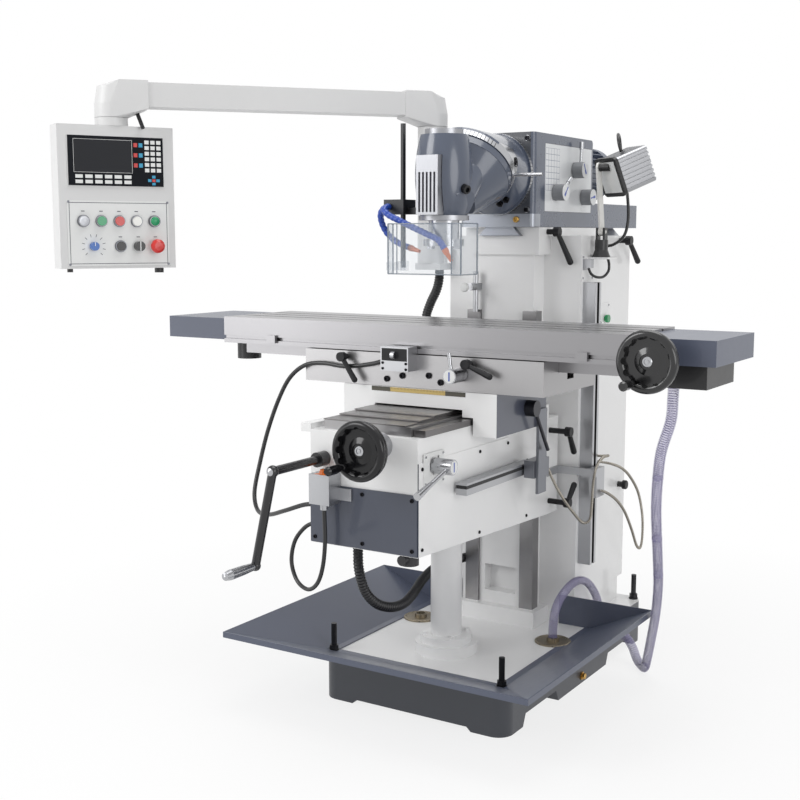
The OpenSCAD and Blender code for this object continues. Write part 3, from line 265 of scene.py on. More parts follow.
def lathe(name, profile, centre, axis, mat, body, seg=48, ring=False):
    # row k at height h_k: centre + h_k w + r_k (cos t u + sin t v); a ring joins its last row to its first
    u, v, w = basis(axis)
    p = np.array(profile, float)
    t = np.linspace(0, 2 * math.pi, seg, endpoint=False)
    circle = np.cos(t)[:, None] * u + np.sin(t)[:, None] * v
    verts = np.array(centre) + p[:, 1, None, None] * w + p[:, 0, None, None] * circle[None]
    n = len(p) * seg
    if ring:
        faces = (gridFaces(len(p) + 1, seg) % n).tolist()
    else:
        faces = gridFaces(len(p), seg).tolist() + [list(range(seg - 1, -1, -1)), list(range(n - seg, n))]
    return piece(name, verts.reshape(-1, 3), faces, mat, body)


def boxes(name, items, mat, body, bevel=0.0, frameAxes=None):
    # unit cube corners scaled by each item's half size and set at its centre
    cube = np.array([[x, y, z] for z in (-1, 1) for y in (-1, 1) for x in (-1, 1)], float)
    sides = np.array([[0, 2, 3, 1], [4, 5, 7, 6], [0, 1, 5, 4], [2, 6, 7, 3], [0, 4, 6, 2], [1, 3, 7, 5]])
    lo = np.array([i[0] for i in items], float)
    hi = np.array([i[1] for i in items], float)
    verts = (lo + hi)[:, None] / 2 + cube[None] * (hi - lo)[:, None] / 2
    if frameAxes is not None:
        origin, axes = frameAxes
        verts = np.array(origin) + verts @ np.array(axes)
    faces = (sides[None] + 8 * np.arange(len(items))[:, None, None]).reshape(-1, 4)
    return piece(name, verts.reshape(-1, 3), faces, mat, body, False, bevel)


def rods(name, items, mat, body, sides=20):
    # each item: one end, other end, radius; rings at both ends and a cap of one face
    t = np.linspace(0, 2 * math.pi, sides, endpoint=False)
    verts, faces = [], []
    for k, (a, b, r) in enumerate(items):
        u, v, w = basis(np.subtract(b, a))
        ring = r * (np.cos(t)[:, None] * u + np.sin(t)[:, None] * v)
        verts += [np.array(a) + ring, np.array(b) + ring]
        base = 2 * sides * k
        faces += (gridFaces(2, sides) + base).tolist()
        faces += [list(range(base + sides - 1, base - 1, -1)), list(range(base + sides, base + 2 * sides))]
    return piece(name, np.concatenate(verts), faces, mat, body)


def smoothRoute(points, step):
    # Catmull-Rom through the points, then even steps along its length
    p = np.array(points, float)
    q = np.vstack([p[:1], p, p[-1:]])
    t = np.linspace(0, 1, 12, endpoint=False)[:, None]
    parts = []
    for i in range(len(p) - 1):
        a, b, c, d = q[i:i + 4]
        square, cube = 2 * a - 5 * b + 4 * c - d, 3 * b - a - 3 * c + d
        parts.append(0.5 * (2 * b + (c - a) * t + square * t ** 2 + cube * t ** 3))
    line = np.vstack(parts + [p[-1:]])
    s = np.concatenate([[0], np.cumsum(np.linalg.norm(np.diff(line, axis=0), axis=1))])
    n = max(int(s[-1] / step), 4)
    even = np.linspace(0, s[-1], n + 1)
    return np.stack([np.interp(even, s, line[:, k]) for k in range(3)], 1), s[-1]


def sweep(line, radius, sides):
    # ring of each point in the plane across its tangent, turned from one fixed direction
    t = np.gradient(line, axis=0)
    t /= np.linalg.norm(t, axis=1)[:, None]
    ref = np.array([0.53, 0.31, 0.16])
    u = np.cross(t, ref)
    u /= np.linalg.norm(u, axis=1)[:, None]
    v = np.cross(t, u)
    a = np.linspace(0, 2 * math.pi, sides, endpoint=False)
    r = np.broadcast_to(np.asarray(radius, float), len(line))[:, None, None]
    a = a[None, :, None]
    rings = line[:, None] + r * (np.cos(a) * u[:, None] + np.sin(a) * v[:, None])
    n = len(line)
    caps = [list(range(sides)), list(range(n * sides - 1, (n - 1) * sides - 1, -1))]
    return rings.reshape(-1, 3), [q[::-1] for q in gridFaces(n, sides).tolist()] + caps, (u, v)


# Camera: fitted to the photograph
cameraSet = {
    "place": (1.6679, -3.18778, 1.30016), "turn": 32.16547, "down": 7.68126,
    "lens": 54.86, "sensor": 36.0, "clip": (0.05, 60.0),
}
camData = bpy.data.cameras.new("camera")
camData.lens, camData.sensor_width = cameraSet["lens"], cameraSet["sensor"]
camData.clip_start, camData.clip_end = cameraSet["clip"]
camera = bpy.data.objects.new("camera", camData)
bpy.context.scene.collection.objects.link(camera)
az, down = math.radians(cameraSet["turn"]), math.radians(cameraSet["down"])
look = Vector((-math.sin(az) * math.cos(down), math.cos(az) * math.cos(down), -math.sin(down)))
camera.location = cameraSet["place"]
camera.rotation_mode = "QUATERNION"
camera.rotation_quaternion = look.to_track_quat("-Z", "Y")
bpy.context.scene.camera = camera
print("camera set")


# Cords: each free hose, conduit and cable, cut into stretches where it crosses a joint
rubber = plastic("rubber", rgb(30, 30, 33), 0.42)
cable = plastic("cable", rgb(24, 24, 26), 0.35, 0.1)
spiral = steel("spiralSteel", rgb(150, 145, 136), 0.28)
hoseSet = {
    "clear": rgb(176, 170, 212), "rough": 0.16, "alpha": 0.4,
    "pitch": .0062, "wire": .0008, "inset": .0022, "sides": 5, "turnSteps": 10,
}
clearHose = plastic("clearHose", hoseSet["clear"], hoseSet["rough"], 0.3)
setAlpha(clearHose, hoseSet["alpha"])
hoseWire = steel("hoseWire", rgb(120, 118, 130), 0.3)

cordSet = {
    "knee": {
        "route": [
            (-.09, -.6, .511), (-.09, -.6, .478), (-.087, -.6, .426), (-.081, -.58, .365), (-.07, -.54, .322),
            (-.062, -.48, .298), (-.066, -.41, .29), (-.084, -.33, .296), (-.108, -.24, .31),
            (-.125, -.15, .318), (-.132, -.06, .316), (-.132, .03, .308), (-.13, .07, .305),
            (-.13, .104, .305)],
        "r": .014, "kind": "ribbed", "chain": ["knee", "base"], "node": "thick_conduits",
    },
    "arm": {
        "route": [
            (-.262, .112, 1.195), (-.263, .112, 1.165), (-.275, .116, 1.13), (-.3, .123, 1.09),
            (-.32, .13, 1.045), (-.322, .142, .995), (-.305, .162, .945), (-.275, .185, .91),
            (-.246, .201, .894), (-.219, .203, .893)],
        "r": .015, "kind": "ribbed", "chain": ["base"], "node": "thick_conduits",
    },
    "bed": {
        "route": [
            (-.089, -.456, .966), (-.108, -.456, .965), (-.15, -.455, .955), (-.228, -.455, .945),
            (-.3, -.455, .95), (-.36, -.458, .942), (-.41, -.464, .905), (-.447, -.47, .841),
            (-.475, -.484, .755), (-.489, -.505, .665), (-.484, -.54, .58), (-.44, -.58, .54),
            (-.37, -.62, .545), (-.29, -.655, .572), (-.215, -.675, .6), (-.18, -.68, .608),
            (-.161, -.68, .609)],
        "r": .006, "kind": "cable", "chain": ["bed", "saddle", "knee"], "cuts": [.45], "node": "bed_conduit",
    },
    "box": {
        "route": [
            (-.097, -.741, .614), (-.096, -.741, .59), (-.095, -.741, .53), (-.105, -.738, .465),
            (-.13, -.728, .415), (-.173, -.71, .388), (-.22, -.694, .4), (-.247, -.682, .445),
            (-.24, -.676, .5), (-.21, -.672, .54), (-.18, -.67, .556), (-.161, -.67, .557)],
        "r": .0055, "kind": "cable", "chain": ["knee"], "node": "bed_conduit",
    },
    "crossReader": {
        "route": [
            (.222, -.129, .659), (.223, -.1195, .6575), (.2265, -.108, .645), (.232, -.092, .615),
            (.243, -.052, .56), (.256, 0, .505), (.268, .04, .47), (.282, .058, .478), (.292, .048, .53),
            (.298, .04, .59), (.302, .052, .638), (.304, .092, .658), (.3, .14, .656), (.28, .176, .648),
            (.25, .186, .644), (.219, .188, .643)],
        "r": .0045, "kind": "spiral", "chain": ["saddle", "knee", "base"], "cuts": [.42],
        "node": "reader_conduits",
    },
    "kneeReader": {
        "route": [
            (.288, .125, .552), (.299, .128, .549), (.303, .165, .532), (.304, .215, .505), (.306, .27, .462),
            (.306, .33, .395), (.306, .375, .335), (.306, .408, .32), (.306, .424, .35), (.306, .42, .42),
            (.304, .385, .5), (.3, .325, .56), (.292, .275, .595), (.275, .24, .612), (.25, .225, .618),
            (.219, .223, .62)],
        "r": .0045, "kind": "spiral", "chain": ["knee", "base"], "node": "reader_conduits",
    },
    "drain": {
        "route": [
            (.664, -.34, .939), (.663, -.34, .905), (.658, -.336, .85), (.632, -.325, .77), (.612, -.29, .69),
            (.592, -.24, .605), (.572, -.175, .52), (.548, -.095, .425), (.52, -.01, .33), (.49, .06, .23),
            (.462, .105, .135), (.44, .135, .06), (.424, .16, .024), (.402, .19, .017), (.378, .215, .025),
            (.358, .228, .055), (.334, .234, .08), (.31, .236, .086), (.292, .236, .086)],
        "r": .014, "kind": "clear", "chain": ["table", "bed", "saddle", "knee", "base"],
        "cuts": [.2, .38, .52], "node": "clear_hoses",
    },
    "strainer": {
        "route": [
            (.227, -.064, .137), (.227, -.064, .175), (.229, -.052, .228), (.235, -.005, .268),
            (.241, .06, .284), (.246, .125, .268), (.25, .18, .222), (.252, .208, .175), (.252, .21, .134)],
        "r": .013, "kind": "clear", "chain": ["base"], "node": "clear_hoses",
    },
    "lampLead": {
        "route": [
            (.262, .2, 1.23), (.262, .208, 1.216), (.262, .204, 1.196), (.256, .18, 1.18), (.246, .152, 1.18),
            (.236, .136, 1.19), (.231, .13, 1.206)],
        "r": .004, "kind": "cable", "chain": ["base"], "node": "lamp_cables",
    },
    "lamp": {
        "route": [
            (.298, .192, 1.541), (.294, .187, 1.558), (.287, .194, 1.58), (.278, .216, 1.592),
            (.272, .242, 1.582), (.27, .26, 1.545), (.276, .27, 1.49), (.286, .278, 1.42),
            (.288, .284, 1.35), (.278, .28, 1.3), (.25, .27, 1.274), (.219, .266, 1.268)],
        "r": .0045, "kind": "cable", "chain": ["lamp_head", "lamp_arm", "base"], "cuts": [.3],
        "node": "lamp_cables",
    },
}
cordKinds = {
    "ribbed": {"mat": rubber, "bend": "stiff", "step": .0021, "sides": 20, "pitch": .0084, "depth": .0022},
    "cable": {"mat": cable, "bend": "medium", "step": .006, "sides": 14, "pitch": 0},
    "spiral": {"mat": spiral, "bend": "stiff", "step": .0011, "sides": 12, "pitch": .0055, "depth": .0014},
    "clear": {"mat": [clearHose, hoseWire], "bend": "stiff", "step": .008, "sides": 24, "pitch": 0},
}


def hoseHelix(part, size, r, u, v):
    # wire inside the hose's wall: centre + R (cos w u + sin w v), one turn in each pitch
    last = len(part) - 1
    turns = size / hoseSet["pitch"]
    at = np.linspace(0, last, max(int(turns * hoseSet["turnSteps"]), 8))
    centre, side, up = (np.stack([np.interp(at, np.arange(last + 1), m[:, q]) for q in range(3)], 1)
                        for m in (part, u, v))
    w = (at / last * turns * 2 * math.pi)[:, None]
    helix = centre + (r - hoseSet["inset"]) * (np.cos(w) * side + np.sin(w) * up)
    return sweep(helix, hoseSet["wire"], hoseSet["sides"])[:2]


for name, c in cordSet.items():
    k = cordKinds[c["kind"]]
    chain = c["chain"]
    line, length = smoothRoute(c["route"], k["step"])
    last = len(line) - 1
    marks = [int(round(share * last)) for share in [0.0] + c.get("cuts", []) + [1.0]]
    for i, (a, b) in enumerate(zip(marks[:-1], marks[1:])):
        part = line[a:b + 1]
        size = np.linalg.norm(np.diff(part, axis=0), axis=1).sum()
        radius = c["r"]
        if k["pitch"]:
            # ribs along the hose: r - depth (1 - cos(2 pi s / pitch)) / 2
            s = np.arange(a, b + 1) * k["step"]
            radius = c["r"] - k["depth"] * (0.5 - 0.5 * np.cos(2 * math.pi * s / k["pitch"]))
        verts, faces, (u, v) = sweep(part, radius, k["sides"])
        skin = len(faces)
        if c["kind"] == "clear":
            wire, wireFaces = hoseHelix(part, size, c["r"], u, v)
            faces = faces + [[q + len(verts) for q in f] for f in wireFaces]
            verts = np.vstack([verts, wire])
        title = "cord_" + name + ("" if len(marks) == 2 else "_" + str(i))
        ob = piece(title, verts, faces, k["mat"], None if len(chain) > 1 else chain[0])
        if c["kind"] == "clear":
            ob.data.polygons.foreach_set("material_index", (np.arange(len(faces)) >= skin).astype(int))
        if len(chain) > 1:
            chain[i + 1]
            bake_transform(ob)
        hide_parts(c["node"])
        path = [tuple(p) for p in part[::3]] + [tuple(part[-1])]
    print("cord", name, round(length, 3), "m")


# Finishes of the CAD nodes: zones are boxes in metres or masks worked out from a place and an axis
slantAxis = (0.0, -math.sqrt(.5), -math.sqrt(.5))
slantFoot = (0.0, -.314, 1.344)
ramAxis = (0.0, 1.0, 0.0)
ramFoot = (0.0, 0.0, 1.4735)
ringSet = {"radius": .1257, "slack": .0012, "behind": -.2172, "ramFace": -.0121, "ramRadius": .1162}
tickSet = {"step": 5.0, "width": .9}
speedPlate = dict(x=(.1196, .13), y=(.058, .394), z=(1.368, 1.566))
plateInner = dict(x=(.119, .131), y=(.0605, .3915), z=(1.3705, 1.5635))
speedTable = {
    "zone": dict(x=(.1196, .13), y=(.064, .158), z=(1.43, 1.552)),
    "y": .0188, "z": .0174, "line": .0012,
}
dialSet = {
    "cross": {
        "zone": dict(y=(-.762, -.745), z=(.75, .83)), "foot": (.056, 0, .789), "step": 6.0, "width": 1.2},
    "feed": {"zone": dict(y=(-.476, -.462)), "foot": (.133, 0, .944), "step": 9.0, "width": 1.6},
    "table": {"zone": dict(y=(-.4705, -.455)), "foot": (.66, 0, 1.011), "step": 6.0, "width": 1.2},
}
lampAxis = np.array([-.55, -.749, -.37])
lampCentre = np.array([.274, .1597, 1.4642])


def ways(f):
    # the two ground strips on the column's front
    return f.inside(x=(-.1145, .1145), y=(.02, .0655), z=(.184, 1.0815)) * (abs(f.x) > .0698)


def ticks(f, foot, axis, step, width):
    # marks across a dial, step and width in degrees about its axis
    return f.stripes(f.around(foot, axis)[1], step, width)


def slantRing(f):
    offRing = abs(f.around(slantFoot, slantAxis)[0] - ringSet["radius"])
    return (f.along(slantFoot, slantAxis) > ringSet["behind"]) * (offRing < ringSet["slack"])


def slantTicks(f):
    return slantRing(f) * ticks(f, slantFoot, slantAxis, **tickSet)


def ramRing(f):
    return (f.y < ringSet["ramFace"]) * (f.around(ramFoot, ramAxis)[0] > ringSet["ramRadius"])


def ramTicks(f):
    return ramRing(f) * ticks(f, ramFoot, ramAxis, **tickSet)


def plateEdge(f):
    return f.inside(**speedPlate) * (1.0 - f.inside(**plateInner))


def plateGrid(f):
    zone = speedTable["zone"]
    across = f.stripes(f.y - zone["y"][0], speedTable["y"], speedTable["line"])
    down = f.stripes(f.z - zone["z"][0], speedTable["z"], speedTable["line"])
    return f.inside(**zone) * (across + down > .5)


def carrierRib(f):
    return (f.x > .106) * (f.y < -.12)


def dialTicks(name):
    d = dialSet[name]
    return lambda f: f.inside(**d["zone"]) * ticks(f, d["foot"], ramAxis, d["step"], d["width"])


def lampFrontRim(f):
    return f.along(lampCentre, lampAxis) > -.0142


mats = {
    "base_casting": paint("basePaint", tint["iron"], 0.45, 0.2, zones=[
        (dict(z=(.1325, .3)), tint["white"], 0.3, 0)]),
    "drip_tray": paint("trayPaint", tint["slate"], 0.42, 0.2),
    "levelling_bolts": steel("boltSteel", rgb(58, 58, 60), 0.4),
    "column": paint("columnPaint", tint["white"], 0.3, zones=[(ways, tint["steel"], 0.3, 1.0)]),
    "screw_tube": paint("tubePaint", tint["white"], 0.3),
    "elevating_screw": steel("screwSteel", tint["steel"], 0.3),
    "column_button": plastic("buttonGreen", rgb(10, 140, 80), 0.25, 0.3),
    "column_fittings": paint("fittingPaint", tint["white"], 0.35, 0.2, zones=[
        (dict(x=(.217, .2585), y=(.121, .1625), z=(.32, 1.167)), tint["alu"], 0.35, 1.0),
        (dict(x=(.2435, .2585), y=(.134, .15), z=(.32, 1.167)), tint["black"], 0.5, 0.0),
        (dict(x=(.2215, .29), z=(1.2375, 1.4)), tint["black"], 0.4, 0.0),
        (dict(x=(.2, .29), y=(.11, .145), z=(1.2, 1.2325)), tint["alu"], 0.4, 1.0),
        (dict(x=(.217, .24), y=(.4, .45), z=(.5, .53)), tint["black"], 0.4, 0.0),
        (dict(x=(-.4, -.2181)), tint["grey"], 0.4, 0.0),
        (dict(x=(-.1, -.06), y=(-.06, .04)), tint["alu"], 0.35, 1.0)]),
    "ram_housing": paint("ramPaint", tint["ram"], 0.28, 0.5, zones=[
        (dict(y=(-.02, -.0118)), tint["iron"], 0.3, 0.0),
        (dict(y=(-.03, .033), z=(1.2, 1.362)), tint["hammer"], 0.3, 0.6),
        (dict(z=(1.2, 1.3245)), tint["hammer"], 0.3, 0.6),
        (ramRing, tint["alu"], 0.35, 1.0),
        (ramTicks, tint["black"], 0.5, 0.0),
        (speedPlate, rgb(222, 224, 226), 0.3, 0.0),
        (plateEdge, rgb(60, 66, 84), 0.3, 0.0),
        (plateGrid, rgb(70, 82, 120), 0.3, 0.0)]),
    "main_motor": paint("motorPaint", tint["ram"], 0.4, 0.2),
    "drive_shaft": steel("shaftSteel", tint["steel"], 0.3),
    "head_carrier": paint("carrierPaint", tint["ram"], 0.22, 0.5, zones=[
        (slantRing, tint["alu"], 0.35, 1.0),
        (slantTicks, tint["black"], 0.5, 0.0),
        (carrierRib, tint["alu"], 0.22, 1.0)]),
    "spindle_head": paint("headPaint", tint["ram"], 0.22, 0.5),
    "head_rings": steel("ringAlu", rgb(158, 159, 163), 0.34, (1, 1, 30)),
    "spindle": steel("spindleSteel", tint["alu"], 0.25, (1, 1, 30)),
    "coolant_fittings": plastic("fittingBlack", rgb(26, 27, 30), 0.38),
    "knee": paint("kneePaint", tint["white"], 0.3, zones=[
        (dict(x=(-.1305, .1305), z=(.8125, .84)), tint["steel"], 0.3, 1.0)]),
    "knee_covers": paint("coverPaint", tint["white"], 0.32, zones=[
        (dict(y=(-.72, -.7095)), rgb(64, 69, 83), 0.4, 0)]),
    "way_covers": steel("coverSteel", rgb(118, 116, 116), 0.3, (1, 14, 14)),
    "knee_fittings": steel("fittingAlu", tint["alu"], 0.38, zones=[
        (dict(x=(-.115, -.08), y=(-.76, -.72), z=(.7075, .73)), rgb(235, 120, 30), 0.3, 0.0),
        (dialTicks("cross"), tint["black"], 0.5, 0.0),
        (dict(x=(.172, .2035), y=(-.5425, -.1565), z=(.6645, .6735)), tint["black"], 0.5, 0.0)]),
    "feed_motor": plastic("feedBlack", rgb(38, 38, 41), 0.4),
    "crank": paint("crankBlack", rgb(24, 24, 27), 0.3, 0.2, 0.00001, zones=[
        (dict(y=(-1.2, -.9345)), tint["alu"], 0.25, 1.0)]),
    "feed_lever": steel("leverSteel", tint["alu"], 0.22),
    "saddle": paint("saddlePaint", tint["white"], 0.32, zones=[
        (dict(x=(.2365, .25)), tint["saddle"], 0.35, 0)]),
    "cross_reader": steel("readerSteel", rgb(124, 126, 132), 0.36),
    "saddle_lock": steel("lockSteel", rgb(70, 70, 74), 0.35),
    "swivel_bed": steel("bedSteel", rgb(168, 167, 168), 0.34, (1, 1, 12)),
    "limit_switch": steel("switchAlu", tint["alu"], 0.35),
    "feed_dial": steel("dialAlu", tint["alu"], 0.25, zones=[(dialTicks("feed"), tint["black"], 0.5, 0.0)]),
    "table": steel("tableSteel", rgb(150, 149, 151), 0.3, (1, 14, 14)),
    "end_boxes": paint("boxPaint", tint["slate"], 0.42, 0.2, zones=[
        (dict(z=(.9, .9975)), tint["black"], 0.45, 0)]),
    "table_handwheel": paint("wheelBlack", rgb(16, 16, 18), 0.18, 0.4, 0.00001, zones=[
        (dict(y=(-.4705, -.4355)), tint["alu"], 0.3, 1.0),
        (dialTicks("table"), tint["black"], 0.5, 0.0)]),
    "leadscrew": steel("leadSteel", tint["steel"], 0.3),
    "control_arm": paint("armPaint", tint["grey"], 0.42, 0.1),
    "control_box": paint("consolePaint", tint["grey"], 0.42, 0.1, zones=[
        (dict(z=(1.1, 1.2083)), tint["black"], 0.4, 0)]),
    "lamp_arm": paint("lampPaint", rgb(225, 224, 220), 0.35, 0.2),
    "lamp_head": steel("lampAlu", rgb(160, 161, 164), 0.32, zones=[(lampFrontRim, tint["black"], 0.4, 0.0)]),
}
gloss = plastic("glossBlack", rgb(14, 14, 17), 0.2, 0.25, 0.3)
matt = plastic("mattBlack", rgb(22, 22, 25), 0.42, 0.0, 0.3)
mats["cross_handwheel"] = gloss
for lever in ("ram_clamp_front", "ram_clamp_rear", "knee_clamp_upper", "knee_clamp_lower",
              "bed_clamp_left", "bed_clamp_right"):
    mats[lever] = matt
buttonMat = {
    "start_button": plastic("startGreen", rgb(20, 150, 95), 0.25, 0.3),
    "stop_button": plastic("stopRed", rgb(200, 40, 34), 0.25, 0.3),
    "jog_button": plastic("jogWhite", rgb(235, 235, 230), 0.25, 0.3),
    "lube_button": gloss,
    "speed_pot": plastic("potBlue", rgb(34, 96, 176), 0.3, 0.2),
    "selector_switch": gloss,
    "emergency_stop": plastic("estopRed", rgb(208, 36, 30), 0.28, 0.3),
}
mats.update(buttonMat)

# Speed knobs: place of each axis on the ram's side, and the turn of its pointer in degrees
knobSet = {
    "speed_knob_upper": {"place": (0, .264, 1.4955), "turn": 30},
    "speed_knob_left": {"place": (0, .128, 1.4255), "turn": -40},
    "speed_knob_right": {"place": (0, .329, 1.4165), "turn": 100},
}
for name, k in knobSet.items():
    mats[name] = paint(name + "Grey", rgb(126, 128, 132), 0.4, 0.1, 0.00001, zones=[
        (dict(x=(.1556, .17)), rgb(228, 229, 230), 0.35, 0.0),
        (lambda f, place=k["place"]: f.around(place, (1, 0, 0))[0] > .0244, tint["alu"], 0.2, 1.0)])

guardSet = {"colour": rgb(196, 206, 216), "alpha": 0.16, "edge": .0017, "corner": 1.4, "edgeAlpha": 0.7}
guardMat = plastic("guardClear", guardSet["colour"], 0.12, 0.4)
setAlpha(guardMat, guardSet["alpha"])
mats["chip_guard"] = guardMat
guardEdge = plastic("guardEdge", rgb(120, 130, 142), 0.25, 0.3)
setAlpha(guardEdge, guardSet["edgeAlpha"])

for name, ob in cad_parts.items():
    if name in mats:
        ob.data.materials.clear()
        ob.data.materials.append(mats[name])
print("finishes set")


# Trim: small fittings that ride on the bodies
bright = steel("trimSteel", tint["alu"], 0.25)
dark = steel("trimDark", rgb(34, 34, 37), 0.35)
brass = steel("trimBrass", rgb(190, 152, 84), 0.32)
white = plastic("trimWhite", rgb(228, 229, 228), 0.35)
cyan = plastic("trimCyan", rgb(20, 150, 190), 0.35)
red = plastic("trimRed", rgb(196, 44, 40), 0.35)
ink = plastic("trimInk", rgb(48, 52, 66), 0.45)
blue = plastic("trimBlue", rgb(34, 72, 168), 0.34, 0.2)
orange = plastic("trimOrange", rgb(226, 112, 30), 0.34, 0.2)


def screws(name, places, axis, r, body, mat):
    # round head with a recess, one for each place
    profile = [(r, 0), (r, .45 * r), (.85 * r, .6 * r), (.5 * r, .6 * r), (.48 * r, .2 * r), (.0002, .2 * r)]
    for i, c in enumerate(places):
        lathe(name + "_" + str(i), profile, c, axis, mat, body, 20)


# Console: readout with its keys, border of the lower plate, bezels and marks
consoleSet = {
    "foot": (-.883148, -.656105, 1.2085), "turn": 62.0, "half": .165, "high": .395, "face": .04,
    "upperRow": .263, "lowerRow": .333, "sheet": .0024, "ink": .0027, "glass": .0053, "keys": (.0052, .0066),
}
turn = math.radians(consoleSet["turn"])
consoleAxes = np.array([(math.cos(turn), math.sin(turn), 0), (-math.sin(turn), math.cos(turn), 0), (0, 0, 1)])
consoleFrame = (consoleSet["foot"], consoleAxes)
outward = tuple(-consoleAxes[1])


def onConsole(u, v, d):
    # u from the left edge, v down from the top edge, d out from the face, before the console's turn
    return np.array([u - consoleSet["half"], -consoleSet["face"] - d, consoleSet["high"] - v])


def onFace(u, v, d):
    # the same place after the turn, in the machine's frame
    return np.array(consoleSet["foot"]) + onConsole(u, v, d) @ consoleAxes


def faceBoxes(name, items, depths, mat, body="console", bevel=0.0):
    # each item: left, right, top and bottom on the face; all of them between the two depths
    made = [(onConsole(u0, v1, depths[1]), onConsole(u1, v0, depths[0])) for u0, u1, v0, v1 in items]
    return boxes(name, made, mat, body, bevel, consoleFrame)


def keys(u0, v0, cols, rows, w, h, stepU, stepV):
    # rectangles of w by h in columns and rows, from the upper left one on
    return [(u0 + i * stepU, u0 + i * stepU + w, v0 + j * stepV, v0 + j * stepV + h)
            for i in range(cols) for j in range(rows)]


screenMat = plastic("screenGlass", rgb(14, 17, 25), 0.16, 0.0, 0.12)
bezelMat = plastic("readoutBlack", rgb(12, 15, 22), 0.5, 0.0, 0.12)
glass, sheet, printed = consoleSet["glass"], consoleSet["sheet"], (consoleSet["sheet"], consoleSet["ink"])
markRows = {.236: (.064, .115, .166, .216, .267), .307: (.168, .22, .27)}
# each face piece: its rectangles, depths, finish and edge
facePieces = {
    "readoutFront": ([(.027, .298, .03, .166)], (.004, glass), bezelMat, .0005),
    "readoutScreen": ([(.044, .206, .04, .129)], (glass, .0058), screenMat, 0.0),
    "readoutLine": ([
        (.043, .207, .0392, .04), (.043, .207, .129, .1298),
        (.0422, .043, .0392, .1298), (.207, .2078, .0392, .1298)], (glass, .006), white, 0.0),
    "readoutKeys": (
        keys(.046, .136, 6, 2, .0205, .0095, .0275, .0145)
        + keys(.244, .038, 3, 6, .0125, .0105, .0172, .0155), consoleSet["keys"], white, .0004),
    "readoutRed": (
        keys(.212, .046, 1, 3, .011, .0115, .02, .028) + [(.264, .274, .145, .153)],
        consoleSet["keys"], red, .0004),
    "readoutCyan": (
        keys(.227, .046, 1, 3, .011, .0115, .02, .028) + [
            (.252, .262, .145, .153), (.276, .286, .145, .153),
            (.264, .274, .135, .143), (.264, .274, .155, .162)], consoleSet["keys"], cyan, .0004),
    "plateSheet": ([(.021, .311, .207, .387)], (.002, sheet), white, 0.0),
    "plateBorder": ([
        (.026, .306, .212, .2135), (.026, .306, .3805, .382),
        (.026, .0275, .212, .382), (.3045, .306, .212, .382)], printed, ink, 0.0),
    "plateMarks": ([
        (u - .005, u + .005, v - .0011, v + .0011) for v, row in markRows.items() for u in row],
        printed, ink, 0.0),
}
for name, (items, depths, mat, edge) in facePieces.items():
    faceBoxes(name, items, depths, mat, bevel=edge)

ringMat = steel("bezelSteel", rgb(112, 114, 120), 0.35)
upper, lower = consoleSet["upperRow"], consoleSet["lowerRow"]
bezels = [(.115, upper, .009), (.166, upper, .009), (.216, upper, .009), (.168, lower, .009),
          (.064, upper, .014), (.267, upper, .014)]
for i, (u, v, d) in enumerate(bezels):
    lathe("bezel_" + str(i), [(.0161, -d + .0026), (.0166, -d + .003), (.0166, -.002), (.0158, .0004),
                              (.0142, .0004), (.0142, -.0006)],
          onFace(u, v, d), outward, ringMat, "console", 36, True)
indicators = [(.064, plastic("lampPale", rgb(214, 216, 222), 0.2, 0.4)), (.267, buttonMat["start_button"])]
for i, (u, mat) in enumerate(indicators):
    lathe("indicator_" + str(i), [(.0128, 0), (.0126, .003), (.0105, .0056), (.006, .0072), (.0003, .0078)],
          onFace(u, upper, .0141), outward, mat, "console", 32)

potSet = {"u": .092, "from": .026, "to": .034, "line": .0007, "turn": 135, "count": 10}


def potPoint(a, r):
    # at radius r from the knob's centre, a turned from straight up
    return onFace(potSet["u"] + r * math.sin(a), lower - r * math.cos(a), sheet)


potTurns = np.radians(np.linspace(-potSet["turn"], potSet["turn"], potSet["count"]))
rods("potMarks", [(potPoint(a, potSet["from"]), potPoint(a, potSet["to"]), potSet["line"]) for a in potTurns],
     ink, "console", 8)
faceBoxes("selectorLine", [(.2187, .2213, .3195, .3465)], (.023, .0237), white, "selector_switch")
faceBoxes("potLine", [(.0912, .0928, .3215, .332)], (.018, .0187), white, "speed_pot")
screws("plateScrew", [onFace(u, v, .0023) for u in (.0245, .3075) for v in (.2105, .3835)],
       outward, .0034, "console", ringMat)

# Handwheels: bright caps on the hubs
capProfile = [(.0125, -.0005), (.0125, .0025), (.0112, .0036), (.0078, .0036), (.0074, .0012), (.0052, .0012),
              (.0048, .003), (.0003, .0032)]
hubs = {"cross_handwheel": (.056, -.807, .789), "table_handwheel": (.66, -.512, 1.011)}
for name, place in hubs.items():
    lathe(name + "Cap", capProfile, place, (0, -1, 0), bright, name, 36)

# Speed knobs: blue pointers on the white faces, a wide half and a narrow half
pointerBars = [((.156, -.0035, -.013), (.1568, .0035, .0)), ((.156, -.0018, .0), (.1568, .0018, .0205))]
for name, k in knobSet.items():
    a = math.radians(k["turn"])
    axes = np.array([(1, 0, 0), (0, math.cos(a), math.sin(a)), (0, -math.sin(a), math.cos(a))])
    boxes(name + "Pointer", pointerBars, blue, name, 0.0, (k["place"], axes))

